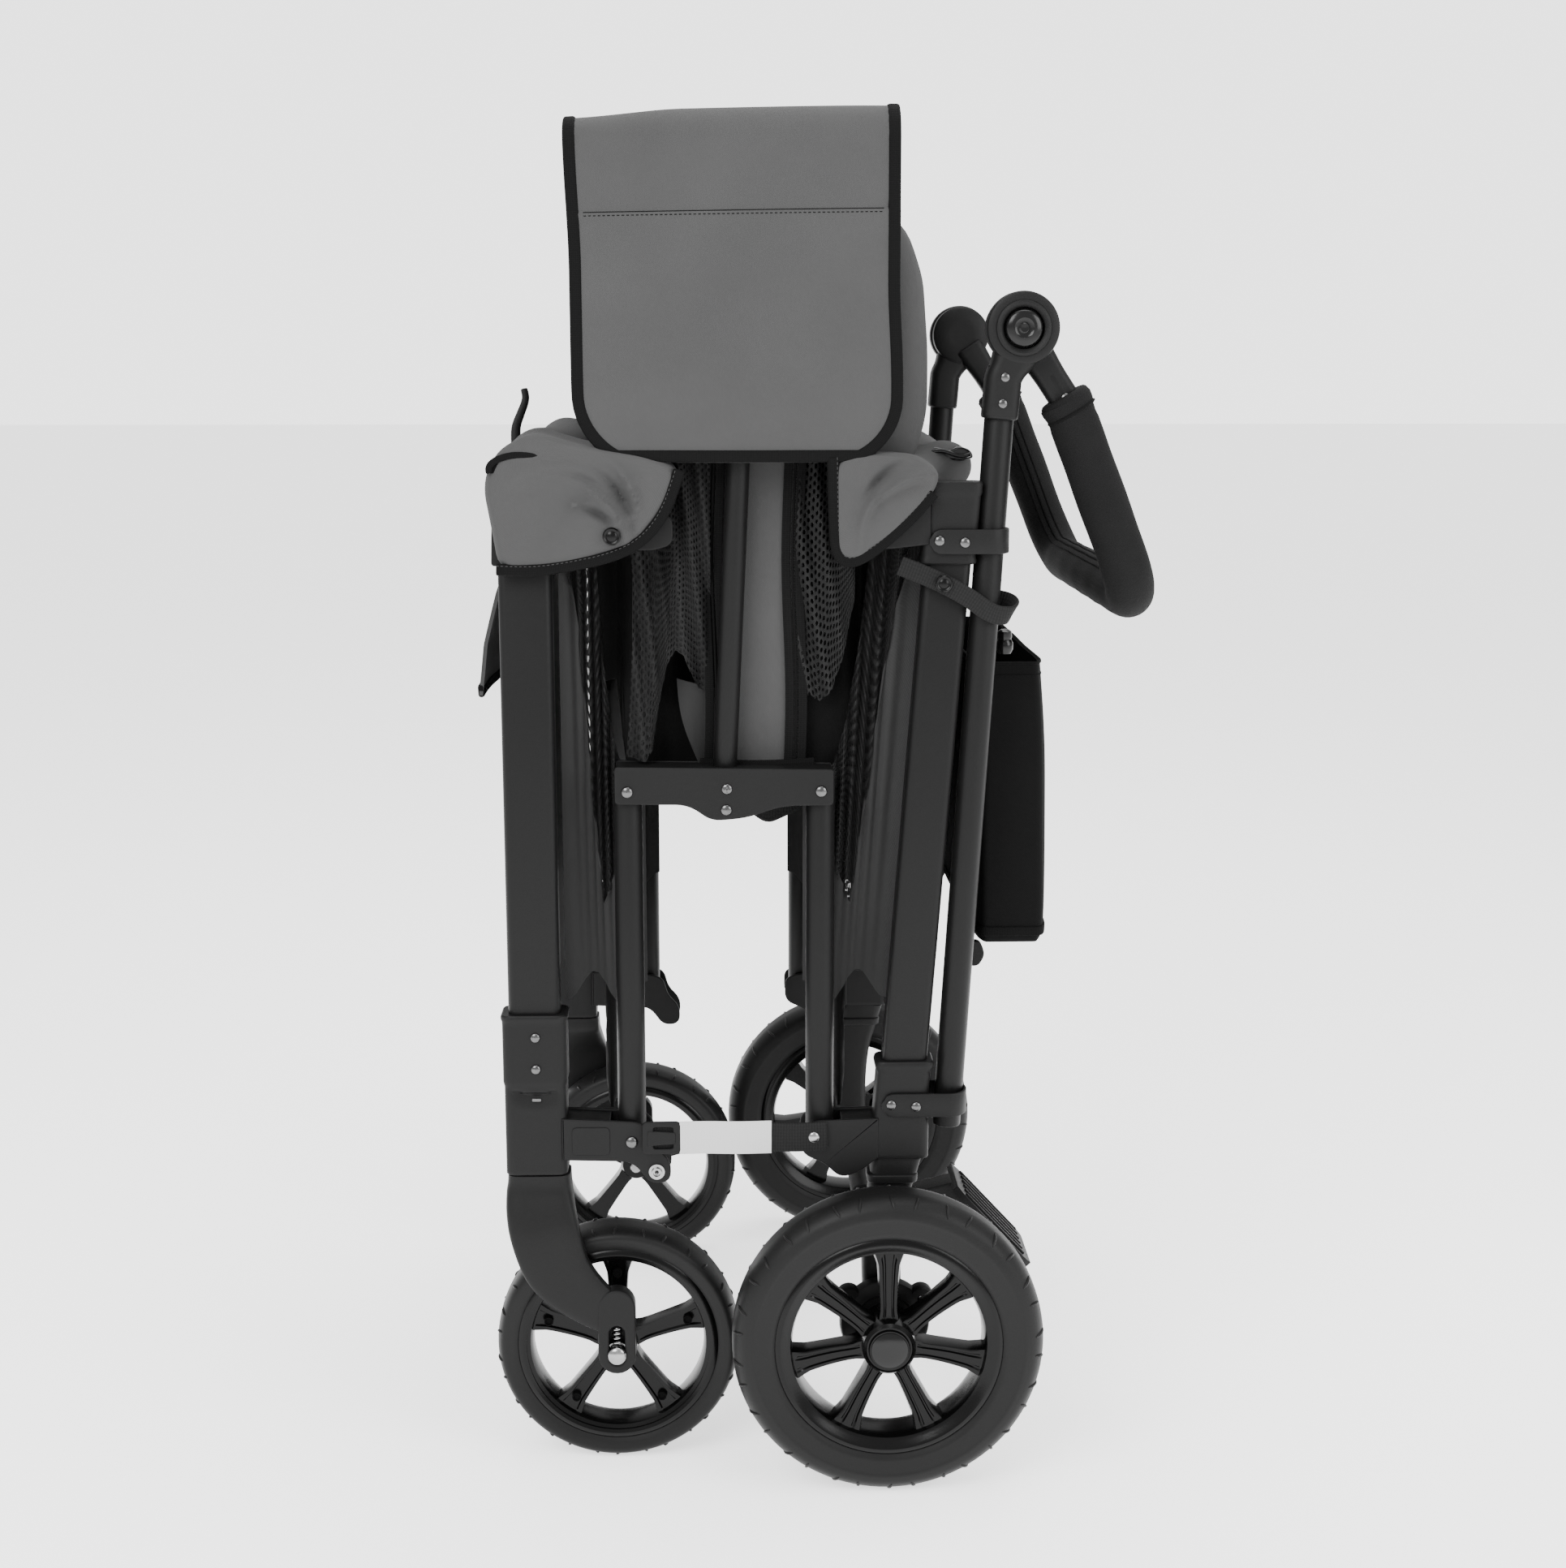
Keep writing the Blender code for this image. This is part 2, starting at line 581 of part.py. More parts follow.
def handle_path(reach_start):
    """Points of the U from a distance along the left arm, round the bar, to the right arm."""
    y = hub_faces()[1] - BAR_RADIUS - RUNNING
    knee = HUB + Vector((math.sin(ARM_ANGLE), 0, -math.cos(ARM_ANGLE))) * ARM_LENGTH
    down = Vector((math.sin(GRIP_ANGLE), 0, -math.cos(GRIP_ANGLE)))
    start = HUB + (knee - HUB) * reach_start
    corner_in = knee + down * (GRIP_LENGTH - BAR_CORNER)
    half = [Vector((start.x, -y, start.z)), Vector((knee.x, -y, knee.z))]
    for step in range(4):
        angle = math.pi / 2 * step / 3
        point = corner_in + down * (BAR_CORNER * math.sin(angle))
        half.append(Vector((point.x, -y + BAR_CORNER * (1 - math.cos(angle)), point.z)))
    other = [Vector((p.x, -p.y, p.z)) for p in reversed(half)]
    return half + other


def swept_u(path, outer, inner=None):
    """Sweep along the U, with the section's across direction normal to the U's plane."""
    normal = Vector((math.cos(GRIP_ANGLE), 0, math.sin(GRIP_ANGLE)))
    return sweep_mesh(path, outer, inner, across=normal)


def folding_handle():
    inner, split, _ = hub_faces()
    path = handle_path(0.30)
    bar = place(swept_u(path, section_ring(BAR_RADIUS - FIT, 10)), "handle_bar", "handle",
                "frame_paint", smooth=True)
    for _, side in SIDES:
        disc = shaft_mesh(((side * inner, HUB_RADIUS - 0.001),
                           (side * (split - RUNNING), HUB_RADIUS - 0.001)), HUB, 20)
        combine(bar, disc, "UNION")
    grip_path = handle_path(0.86)
    place(swept_u(grip_path, section_ring(GRIP_RADIUS, 10), section_ring(BAR_RADIUS + FIT, 10)),
          "handle_grip", "handle", "foam", smooth=True)


# Front frame

def front_frame_side(name, side):
    outer = rounded_ring(FRONT_POST_WIDTH, POST_THICKNESS, 0.006)
    inner = rounded_ring(FRONT_POST_WIDTH - 2 * TUBE_WALL, POST_THICKNESS - 2 * TUBE_WALL, 0.0044)
    low = (FRONT_POST_X, side * FRAME_Y, FRONT_POST_FOOT_Z)
    high = (FRONT_POST_X, side * FRAME_Y, POST_TOP_Z)
    post = place(sweep_mesh((low, high), outer, inner), "front_post_" + name, "front_frame",
                 "frame_paint", smooth=True)
    shell = FRONT_POST_WIDTH / 2 + 0.004
    bottom = FRONT_UPPER.z - TOP_BRACKET_DROP
    outline = arc((FRONT_UPPER.x, FRONT_UPPER.z), EYE_RADIUS, -90, 90, 6)
    outline += [(FRONT_POST_X + shell, FRONT_UPPER.z + EYE_RADIUS),
                (FRONT_POST_X + shell - 0.004, POST_TOP_Z + 0.004),
                (FRONT_POST_X - shell + 0.004, POST_TOP_Z + 0.004),
                (FRONT_POST_X - shell, POST_TOP_Z - 0.002), (FRONT_POST_X - shell, bottom),
                (FRONT_POST_X + shell, bottom)]
    combine(post, outline_mesh(outline, bracket_span(side)), "UNION")
    cut_fork(post, FRONT_UPPER, side, RAIL_RADIUS, 1)

    shell = FRONT_POST_WIDTH / 2 + 0.005
    bottom = FRONT_SLEEVE_BOTTOM_Z
    outline = arc((FRONT_LOWER.x, FRONT_LOWER.z), EYE_RADIUS, -90, 90, 6)
    outline += [(FRONT_POST_X + shell, FRONT_LOWER.z + EYE_RADIUS + 0.004),
                (FRONT_POST_X + shell, SLEEVE_TOP_Z), (FRONT_POST_X - shell, SLEEVE_TOP_Z),
                (FRONT_POST_X - shell, bottom), (FRONT_POST_X + shell, bottom)]
    sleeve = place(outline_mesh(outline, bracket_span(side)), "front_sleeve_" + name,
                   "front_frame", "bracket_plastic")
    cut_post(sleeve, side, FRONT_POST_WIDTH, lambda z: FRONT_POST_X, FRONT_POST_FOOT_Z - FIT,
             SLEEVE_TOP_Z + 0.01)
    stem = rod_mesh((FRONT_POST_X, side * FRAME_Y, bottom - 0.01),
                    (FRONT_POST_X, side * FRAME_Y, bottom + 0.045), 0.0085)
    combine(sleeve, stem, "DIFFERENCE")
    cut_fork(sleeve, FRONT_LOWER, side, LINK_RADIUS, 1)


def front_cross_tube():
    reach = FRAME_Y - BRACKET_HALF - FIT
    z = FRONT_POST_FOOT_Z + 0.006
    place(tube_mesh((FRONT_POST_X, -reach, z), (FRONT_POST_X, reach, z), CROSS_TUBE_RADIUS),
          "front_cross_tube", "front_frame", "frame_paint", smooth=True)


# Casters

def caster(name, side):
    """Outboard one-armed fork under the front sleeve, with a sprung axle block."""
    top = FRONT_SLEEVE_BOTTOM_Z - RUNNING
    cap_low = top - FORK_CAP_HEIGHT
    arm_low = FRONT_WHEEL_Y + FRONT_TYRE_WIDTH / 2 + 0.0035
    arm_high = arm_low + 0.013
    x, z = FRONT_AXLE.x, FRONT_AXLE.z
    base = FRONT_POST_X
    cap = sweep_mesh(((base, side * FRAME_Y, cap_low), (base, side * FRAME_Y, top)),
                     section_ring(0.024, 16))
    fork = place(cap, "caster_fork_" + name, "caster_" + name, "bracket_plastic", smooth=True)
    outline = [(base - 0.024, top), (base - 0.026, z + 0.100), (base - 0.018, z + 0.062),
               (base + 0.020, z + 0.026), (x - 0.016, z - 0.004)]
    outline += arc((x, z + 0.004), 0.016, 200, 350, 5)
    outline += [(x + 0.016, z + 0.050), (x + 0.006, z + 0.058), (base + 0.031, z + 0.084),
                (base + 0.026, z + 0.112), (base + 0.024, top)]
    combine(fork, outline_mesh(outline, span(side, arm_low, arm_high)), "UNION")
    stem = rod_mesh((base, side * FRAME_Y, top - 0.006), (base, side * FRAME_Y, top + 0.040),
                    0.0085 - RUNNING)
    combine(fork, stem, "UNION")
    slot_top = z + 0.0065 + SUSPENSION_TRAVEL + RUNNING
    slot = side_box((x - 0.0065, x + 0.0065), (z - 0.0085, slot_top),
                    span(side, arm_low - 0.01, arm_high + 0.01))
    combine(fork, slot, "DIFFERENCE")

    block = side_box((x - 0.006, x + 0.006), (z - 0.008, z + 0.0065),
                     span(side, arm_low + 0.0005, arm_high - 0.0005))
    axle = place(block, "front_axle_" + name, "suspension_" + name, "steel")
    wheel_half = FRONT_TYRE_WIDTH / 2
    rod = rod_mesh((x, side * (FRONT_WHEEL_Y - wheel_half - 0.001), z),
                   (x, side * (arm_high + 0.0005), z), FRONT_AXLE_RADIUS)
    combine(axle, rod, "UNION")
    head = rod_mesh((x, side * (arm_high + 0.0003), z), (x, side * (arm_high + 0.004), z), 0.0075)
    combine(axle, head, "UNION")


# Wheels

def wheel(prefix, name, side, body, centre, y, sizes):
    """A tyre on a spoked rim. The rim is a hub, a barrel and straight spokes."""
    tyre_radius, tyre_width, rim_radius, spokes, bore = sizes
    half = tyre_width / 2
    y *= side
    inner = rim_radius + FIT
    shoulder = tyre_radius - TYRE_BULGE
    profile = [(y - half * 0.72, inner), (y - half, (inner + shoulder) / 2),
               (y - half * 0.92, shoulder), (y - half * 0.40, tyre_radius),
               (y + half * 0.40, tyre_radius), (y + half * 0.92, shoulder), (y + half, (inner + shoulder) / 2),
               (y + half * 0.72, inner)]
    tyre = turned_mesh(profile, centre, WHEEL_SEGMENTS)
    place(tyre, f"{prefix}_tyre_{name}", body, "tyre_rubber", smooth=True)
    rim_half = half * 0.86
    barrel = [(y - rim_half, rim_radius - RIM_DEPTH), (y - rim_half, rim_radius),
              (y + rim_half, rim_radius), (y + rim_half, rim_radius - RIM_DEPTH)]
    rim = place(turned_mesh(barrel, centre, WHEEL_SEGMENTS), f"{prefix}_rim_{name}", body,
                "rim_plastic", smooth=True)
    hub_radius = bore + 0.010
    hub_half = half - 0.0005
    hub = turned_mesh([(y - hub_half, bore + FIT), (y - hub_half, hub_radius),
                       (y + hub_half, hub_radius), (y + hub_half, bore + FIT)], centre, 16)
    combine(rim, hub, "UNION")
    for step in range(spokes):
        angle = math.pi / 2 + 2 * math.pi * step / spokes
        arm = side_box((hub_radius - 0.003, rim_radius - RIM_DEPTH + 0.002),
                       (-SPOKE_WIDTH / 2, SPOKE_WIDTH / 2), (y - half * 0.35, y + half * 0.35))
        arm.transform(Matrix.Translation(centre) @ Matrix.Rotation(-angle, 4, "Y"))
        combine(rim, arm, "UNION")


# Centre frame

def centre_side(name, side):
    section = section_ring(CENTRE_POST_RADIUS, 12)
    hollow = section_ring(CENTRE_POST_RADIUS - TUBE_WALL, 12)
    slope = TOP_OFFSET / TOP_OFFSET.z
    low = at_side(MIDDLE + slope * 0.002, side)
    high = at_side(CROWN, side)
    post = place(sweep_mesh((low, high), section, hollow), "centre_post_" + name, "centre_frame",
                 "frame_paint", smooth=True)
    end = EYE_RADIUS
    outline = arc((REAR_CROWN.x, REAR_CROWN.z), end, -90, 90, 6)
    outline += arc((FRONT_CROWN.x, FRONT_CROWN.z), end, 90, 270, 6)
    combine(post, outline_mesh(outline, bracket_span(side)), "UNION")
    cut_fork(post, FRONT_CROWN, side, RAIL_RADIUS, -1)
    cut_fork(post, REAR_CROWN, side, RAIL_RADIUS, 1)

    outline = arc((REAR_MIDDLE.x, REAR_MIDDLE.z), end, -60, 90, 5)
    outline += arc((FRONT_MIDDLE.x, FRONT_MIDDLE.z), end, 90, 240, 5)
    outline += [(MIDDLE.x - 0.026, MIDDLE.z - 0.022), (MIDDLE.x + 0.026, MIDDLE.z - 0.022)]
    bracket = place(outline_mesh(outline, bracket_span(side)), "centre_lower_bracket_" + name,
                    "centre_frame", "bracket_plastic")
    top = at_side(MIDDLE + slope * 0.030, side)
    bore = rod_mesh(at_side(MIDDLE + slope * (0.002 - FIT), side), top, CENTRE_POST_RADIUS + FIT)
    combine(bracket, bore, "DIFFERENCE")
    cut_fork(bracket, FRONT_MIDDLE, side, LINK_RADIUS, -1)
    cut_fork(bracket, REAR_MIDDLE, side, LINK_RADIUS, 1)


def links(name, side):
    linked_tube("rear_lower_link_" + name, "rear_link", REAR_LOWER, REAR_MIDDLE, side, LINK_RADIUS)
    linked_tube("front_lower_link_" + name, "front_link", FRONT_LOWER, FRONT_MIDDLE, side, LINK_RADIUS)
    linked_tube("rear_upper_rail_" + name, "rear_rail", REAR_UPPER, REAR_CROWN, side, RAIL_RADIUS)
    linked_tube("front_upper_rail_" + name, "front_rail", FRONT_UPPER, FRONT_CROWN, side, RAIL_RADIUS)


def link_cross_tube():
    reach = FRAME_Y - LINK_RADIUS - FIT
    z = LOWER_PIVOT_Z + 0.15 * LINK_LENGTH
    place(tube_mesh((REAR_LOWER.x, -reach, z), (REAR_LOWER.x, reach, z), 0.008), "link_cross_tube",
          "rear_link", "frame_paint", smooth=True)


# Soft parts

def slab(name, body, slot, x, z, half_y=SOFT_HALF):
    return place(side_box(x, z, (-half_y, half_y)), name, body, slot)


def soft_parts():
    """Floor boards, roof halves and end panels as plain closed solids."""
    stand_off = LINK_RADIUS + SOFT_GAP
    reach = PIVOT_GAP / 2 - SOFT_GAP
    z = (LOWER_PIVOT_Z + 0.012, FRONT_MIDDLE.z + reach)
    rear_x = REAR_LOWER.x + stand_off
    front_x = FRONT_LOWER.x - stand_off
    slab("rear_floor", "rear_link", "grey_fabric", (rear_x, rear_x + BOARD_THICKNESS), z)
    slab("front_floor", "front_link", "grey_fabric", (front_x, front_x - BOARD_THICKNESS), z)
    stand_off = RAIL_RADIUS + SOFT_GAP
    z = (REAR_UPPER.z + 0.014, REAR_CROWN.z - ROOF_OVERHANG - SOFT_GAP)
    rear_x = REAR_UPPER.x + stand_off
    front_x = FRONT_UPPER.x - stand_off
    slab("rear_roof", "rear_rail", "grey_fabric", (rear_x, rear_x + PANEL_THICKNESS), z)
    slab("front_roof", "front_rail", "grey_fabric", (front_x, front_x - PANEL_THICKNESS), z)
    rise = CROWN.z + EYE_RADIUS + SOFT_GAP
    reach = PIVOT_GAP / 2 + ROOF_OVERHANG
    outline = [(CROWN.x - reach, rise), (CROWN.x + reach, rise), (CROWN.x + reach, rise + 0.006),
               (CROWN.x + reach / 2, rise + 0.014), (CROWN.x - reach / 2, rise + 0.014),
               (CROWN.x - reach, rise + 0.006)]
    place(outline_mesh(outline, (-FRAME_Y, FRAME_Y)), "roof_centre", "centre_frame", "grey_fabric")
    z = (FRONT_POST_FOOT_Z + 0.024, FRONT_UPPER.z)
    x = (FRONT_POST_X - PANEL_THICKNESS / 2, FRONT_POST_X + PANEL_THICKNESS / 2)
    slab("front_panel", "front_frame", "grey_fabric", x, z, INNER_HALF)
    rear_panel()
    rear_pocket()


def leaning_slab(name, slot, offset, thickness, z, half_y):
    """A slab that follows the rear posts' lean."""
    outline = []
    for height, step in ((z[0], 0), (z[0], thickness), (z[1], thickness), (z[1], 0)):
        outline.append((rear_post_x(height) + offset + step, height))
    return place(outline_mesh(outline, (-half_y, half_y)), name, "rear_frame", slot)


def rear_panel():
    z = (POST_FOOT_Z + 0.034, REAR_UPPER.z)
    leaning_slab("rear_panel", "grey_fabric", -PANEL_THICKNESS / 2, PANEL_THICKNESS, z, INNER_HALF)


def rear_pocket():
    top = REAR_UPPER.z - 0.108
    z = (top - POCKET_HEIGHT, top)
    offset = PANEL_THICKNESS / 2 + SOFT_GAP + 0.030
    leaning_slab("rear_pocket", "black_fabric", offset, POCKET_DEPTH, z, INNER_HALF - 0.030)


def soft_sides(name, side):
    low = FRAME_Y + BRACKET_HALF + SOFT_GAP
    x = (CROWN.x - FLAP_WIDTH / 2 - 0.013, CROWN.x + FLAP_WIDTH / 2 - 0.013)
    z = (CROWN.z + 0.018 - FLAP_DROP, CROWN.z + 0.018)
    place(side_box(x, z, span(side, low, low + FLAP_THICKNESS)), "side_flap_" + name,
          "centre_frame", "grey_fabric")
    x = (FRONT_POST_X + FRONT_POST_WIDTH / 2 + SOFT_GAP, REAR_LOWER.x + 0.030)
    z = (REAR_UPPER.z + 0.040 - SIDE_MESH_DROP, REAR_UPPER.z + 0.040)
    place(side_box(x, z, span(side, INNER_HALF - SIDE_MESH_THICKNESS, INNER_HALF)),
          "side_mesh_" + name, "centre_frame", "mesh_fabric")


def fold_strap():
    """Strap that holds the folded frame shut, riveted to the left rear bracket."""
    low = FRAME_Y + BRACKET_HALF + FIT
    reach = PIVOT_GAP - 0.004
    half = STRAP_HEIGHT / 2
    outline = arc((REAR_LOWER.x, REAR_LOWER.z), half, -90, 90, 6)
    outline += [(REAR_LOWER.x - reach, REAR_LOWER.z + half), (REAR_LOWER.x - reach, REAR_LOWER.z - half)]
    piece = place(outline_mesh(outline, span(-1, low, low + STRAP_THICKNESS)), "fold_strap",
                  "strap", "webbing")
    hole = rod_mesh((REAR_LOWER.x, -low + 0.01, REAR_LOWER.z),
                    (REAR_LOWER.x, -low - 0.01, REAR_LOWER.z), PIN_RADIUS + RUNNING, 8)
    combine(piece, hole, "DIFFERENCE")


def build():
    add_bodies()
    rear_cross_tube()
    rear_axle()
    brake_pedal()
    folding_handle()
    front_cross_tube()
    link_cross_tube()
    soft_parts()
    fold_strap()
    rear_sizes = (REAR_TYRE_RADIUS, REAR_TYRE_WIDTH, REAR_RIM_RADIUS, REAR_SPOKES, STUB_RADIUS)
    front_sizes = (FRONT_TYRE_RADIUS, FRONT_TYRE_WIDTH, FRONT_RIM_RADIUS, FRONT_SPOKES,
                   FRONT_AXLE_RADIUS)
    for name, side in SIDES:
        rear_frame_side(name, side)
        front_frame_side(name, side)
        caster(name, side)
        centre_side(name, side)
        links(name, side)
        soft_sides(name, side)
        wheel("rear", name, side, "rear_wheel_" + name, REAR_AXLE, REAR_WHEEL_Y, rear_sizes)
        wheel("front", name, side, "front_wheel_" + name, FRONT_AXLE, FRONT_WHEEL_Y, front_sizes)


build()
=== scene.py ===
import json
import math

import bpy
import numpy as np
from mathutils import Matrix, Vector


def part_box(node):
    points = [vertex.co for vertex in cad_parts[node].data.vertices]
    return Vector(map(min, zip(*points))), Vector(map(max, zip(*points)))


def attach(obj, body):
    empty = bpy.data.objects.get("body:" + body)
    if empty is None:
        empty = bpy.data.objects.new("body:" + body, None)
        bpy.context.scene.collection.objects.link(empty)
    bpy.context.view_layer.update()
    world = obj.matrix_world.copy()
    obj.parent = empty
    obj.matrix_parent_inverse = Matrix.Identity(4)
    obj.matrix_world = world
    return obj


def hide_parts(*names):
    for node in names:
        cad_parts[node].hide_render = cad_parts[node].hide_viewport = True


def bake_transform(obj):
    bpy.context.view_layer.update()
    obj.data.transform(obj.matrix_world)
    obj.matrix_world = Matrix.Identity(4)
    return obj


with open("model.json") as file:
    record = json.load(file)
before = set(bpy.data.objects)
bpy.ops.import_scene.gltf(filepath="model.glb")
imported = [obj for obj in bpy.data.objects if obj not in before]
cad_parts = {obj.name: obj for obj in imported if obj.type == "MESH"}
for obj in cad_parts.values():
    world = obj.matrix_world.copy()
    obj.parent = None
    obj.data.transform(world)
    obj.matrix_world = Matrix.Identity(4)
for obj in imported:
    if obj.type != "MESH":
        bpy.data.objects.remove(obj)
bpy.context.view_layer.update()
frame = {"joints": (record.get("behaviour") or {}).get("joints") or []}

sides = (("left", -1.0), ("right", 1.0))
pivots = {j["name"]: np.array(j["pos_m"], float) for j in frame["joints"] if j.get("pos_m")}


def spot(name):  # a joint's place in the side view, as x and z
    return pivots[name][[0, 2]]


lowerRear = spot("fold")
middleRear = spot("rear_link_to_centre")
middleFront = spot("centre_to_front_link")
lowerFront = spot("front_link_to_front_frame")
upperRear = spot("rear_rail_pivot")
crownFront = spot("front_rail_pivot")
crownRear = middleRear + upperRear - lowerRear
upperFront = lowerFront + crownFront - middleFront
middle = (middleFront + middleRear) / 2
crown = (crownFront + crownRear) / 2
hub = spot("handle_fold")
rearAxle = spot("brake_press")
frontAxle = spot("front_wheel_spin_right")
frontWheelY = abs(pivots["front_wheel_spin_right"][1])
rearWheelY = abs(pivots["rear_wheel_spin_right"][1])
casterX = pivots["caster_swivel_right"][0]
sleeveFoot = pivots["caster_swivel_right"][2]
linkLow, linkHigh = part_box("front_lower_link_right")
frameY = (linkLow.y + linkHigh.y) / 2
postLow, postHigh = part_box("rear_post_right")
tubeLow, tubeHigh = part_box("handle_tube_right")
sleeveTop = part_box("front_sleeve_right")[1].z

frameSizes = {"linkRadius": 0.011, "railRadius": 0.009, "centreRadius": 0.009, "tubeRadius": 0.011,
              "crossRadius": 0.0125, "tieRadius": 0.008, "frontPost": 0.040, "rearPost": 0.035,
              "postDepth": 0.024, "postCorner": 0.006, "bracketHalf": 0.0155, "linkTail": 0.010}
bracketOut = frameY + frameSizes["bracketHalf"]
bracketIn = frameY - frameSizes["bracketHalf"]


def leaning(low, high, half, z):  # straight line up a leaning tube from its box
    share = (np.asarray(z, float) - low.z) / (high.z - low.z)
    return low.x + half + share * (high.x - low.x - 2 * half)


def rearPostX(z):
    return leaning(postLow, postHigh, frameSizes["rearPost"] / 2, z)


def handleTubeX(z):
    return leaning(tubeLow, tubeHigh, frameSizes["tubeRadius"], z)


def ease(t):  # smooth step, 3t^2 - 2t^3 between 0 and 1
    t = np.clip(t, 0, 1)
    return t * t * (3 - 2 * t)


def bump(t):  # bell that falls to 0 at t = -1 and 1
    return np.clip(1 - np.asarray(t, float) ** 2, 0, None) ** 2


def unit(v):  # the same directions, each with a length of 1
    v = np.asarray(v, float)
    return v / np.maximum(np.linalg.norm(v, axis=-1, keepdims=True), 1e-12)


def space(x, y, z):  # three coordinates, each a number or an array, as points
    return np.stack(np.broadcast_arrays(np.asarray(x, float), y, z), -1)


def at(point, y):  # side-view points of x and z taken into space at y
    point = np.asarray(point, float)
    return space(point[..., 0], y, point[..., 1])


def circle(turn):  # points on a circle with a radius of 1
    return np.stack([np.cos(turn), np.sin(turn)], -1)


def unitGrid(nu, nv):  # two parameters from 0 to 1 over a grid
    return np.meshgrid(np.linspace(0, 1, nu), np.linspace(0, 1, nv), indexing="ij")


def ring(radius, count=20):
    return radius * circle((np.arange(count) + 0.5) * 2 * np.pi / count)


def roundBox(width, depth, corner, steps=4, flat=1):  # rectangle with quarter-circle corners
    signs = np.array([(1, 1), (-1, 1), (-1, -1), (1, -1)], float)
    turn = np.linspace(0, np.pi / 2, steps + 1)
    arcs = [signs[k] * (width / 2 - corner, depth / 2 - corner) + corner * circle(turn + k * np.pi / 2)
            for k in range(4)]
    share = np.linspace(0, 1, flat + 1)[1:-1, None]
    parts = []
    for arc, after in zip(arcs, arcs[1:] + arcs[:1]):
        parts += [arc, arc[-1] * (1 - share) + after[0] * share]
    return np.concatenate(parts)


def bar(width, depth, corner):  # small section for tapes, bars and straps
    return roundBox(width, depth, corner, 2)


def resample(points, count, closed=False):  # equal steps along a polyline
    points = np.asarray(points, float)
    if closed:
        points = np.concatenate([points, points[:1]])
    run = np.r_[0, np.cumsum(np.linalg.norm(np.diff(points, axis=0), axis=1))]
    want = np.linspace(0, run[-1], count + 1)[:-1] if closed else np.linspace(0, run[-1], count)
    return np.stack([np.interp(want, run, points[:, k]) for k in range(points.shape[1])], 1)


def smoothPath(points, count, rounds=3):  # corner cutting, then equal steps
    points = np.asarray(points, float)
    for _ in range(rounds):
        near = 0.75 * points[:-1] + 0.25 * points[1:]
        far = 0.25 * points[:-1] + 0.75 * points[1:]
        mid = np.stack([near, far], 1).reshape(-1, points.shape[1])
        points = np.concatenate([points[:1], mid[1:-1], points[-1:]])
    return resample(points, count)


def arch(start, top, end, t):  # quadratic curve, (1-t)^2 start + 2t(1-t) top + t^2 end
    return (1 - t) ** 2 * start + 2 * t * (1 - t) * top + t ** 2 * end


def roundCorners(points, radius, steps=5, centre=(0, 0)):  # outline whose corners are quadratic curves
    points = np.asarray(points, float) + centre
    radius = np.broadcast_to(np.asarray(radius, float), (len(points),))
    back = np.roll(points, 1, 0) - points
    ahead = np.roll(points, -1, 0) - points
    backLength = np.linalg.norm(back, axis=1)
    aheadLength = np.linalg.norm(ahead, axis=1)
    cut = np.minimum(radius, 0.48 * np.minimum(backLength, aheadLength))
    start = points + back / backLength[:, None] * cut[:, None]
    end = points + ahead / aheadLength[:, None] * cut[:, None]
    t = np.linspace(0, 1, steps + 1)[None, :, None]
    return arch(start[:, None], points[:, None], end[:, None], t).reshape(-1, 2)


def offsetLoop(loop, inset):  # closed loop moved inwards by mitred normals
    loop = np.asarray(loop, float)
    area = np.sum(loop[:, 0] * np.roll(loop[:, 1], -1) - np.roll(loop[:, 0], -1) * loop[:, 1])
    edge = unit(np.roll(loop, -1, 0) - loop)
    inward = np.stack([-edge[:, 1], edge[:, 0]], 1) * np.sign(area)
    before = np.roll(inward, 1, 0)
    total = inward + before
    return loop + inset * total / np.maximum(1 + np.sum(inward * before, 1), 0.35)[:, None]


def shell(points, quads, uv, fans=()):  # a part before it is a mesh: four-sided faces and end caps
    return {"points": np.asarray(points, float).reshape(-1, 3), "quads": np.asarray(quads, int),
            "uv": np.asarray(uv, float).reshape(-1, 4, 2), "fans": [np.asarray(f, int) for f in fans]}


def outward(part):  # turns every face over if the closed shell's volume comes out negative
    p, q = part["points"], part["quads"]
    p = p - p.mean(0)
    volume = np.sum(p[q[:, 0]] * np.cross(p[q[:, 1]], p[q[:, 2]]))
    volume += np.sum(p[q[:, 0]] * np.cross(p[q[:, 2]], p[q[:, 3]]))
    for fan in part["fans"]:
        volume += np.sum(p[fan[0]] * np.cross(p[fan[1:-1]], p[fan[2:]]))
    if volume < 0:
        part["quads"] = q[:, ::-1]
        part["uv"] = part["uv"][:, ::-1]
        part["fans"] = [f[::-1] for f in part["fans"]]
    return part


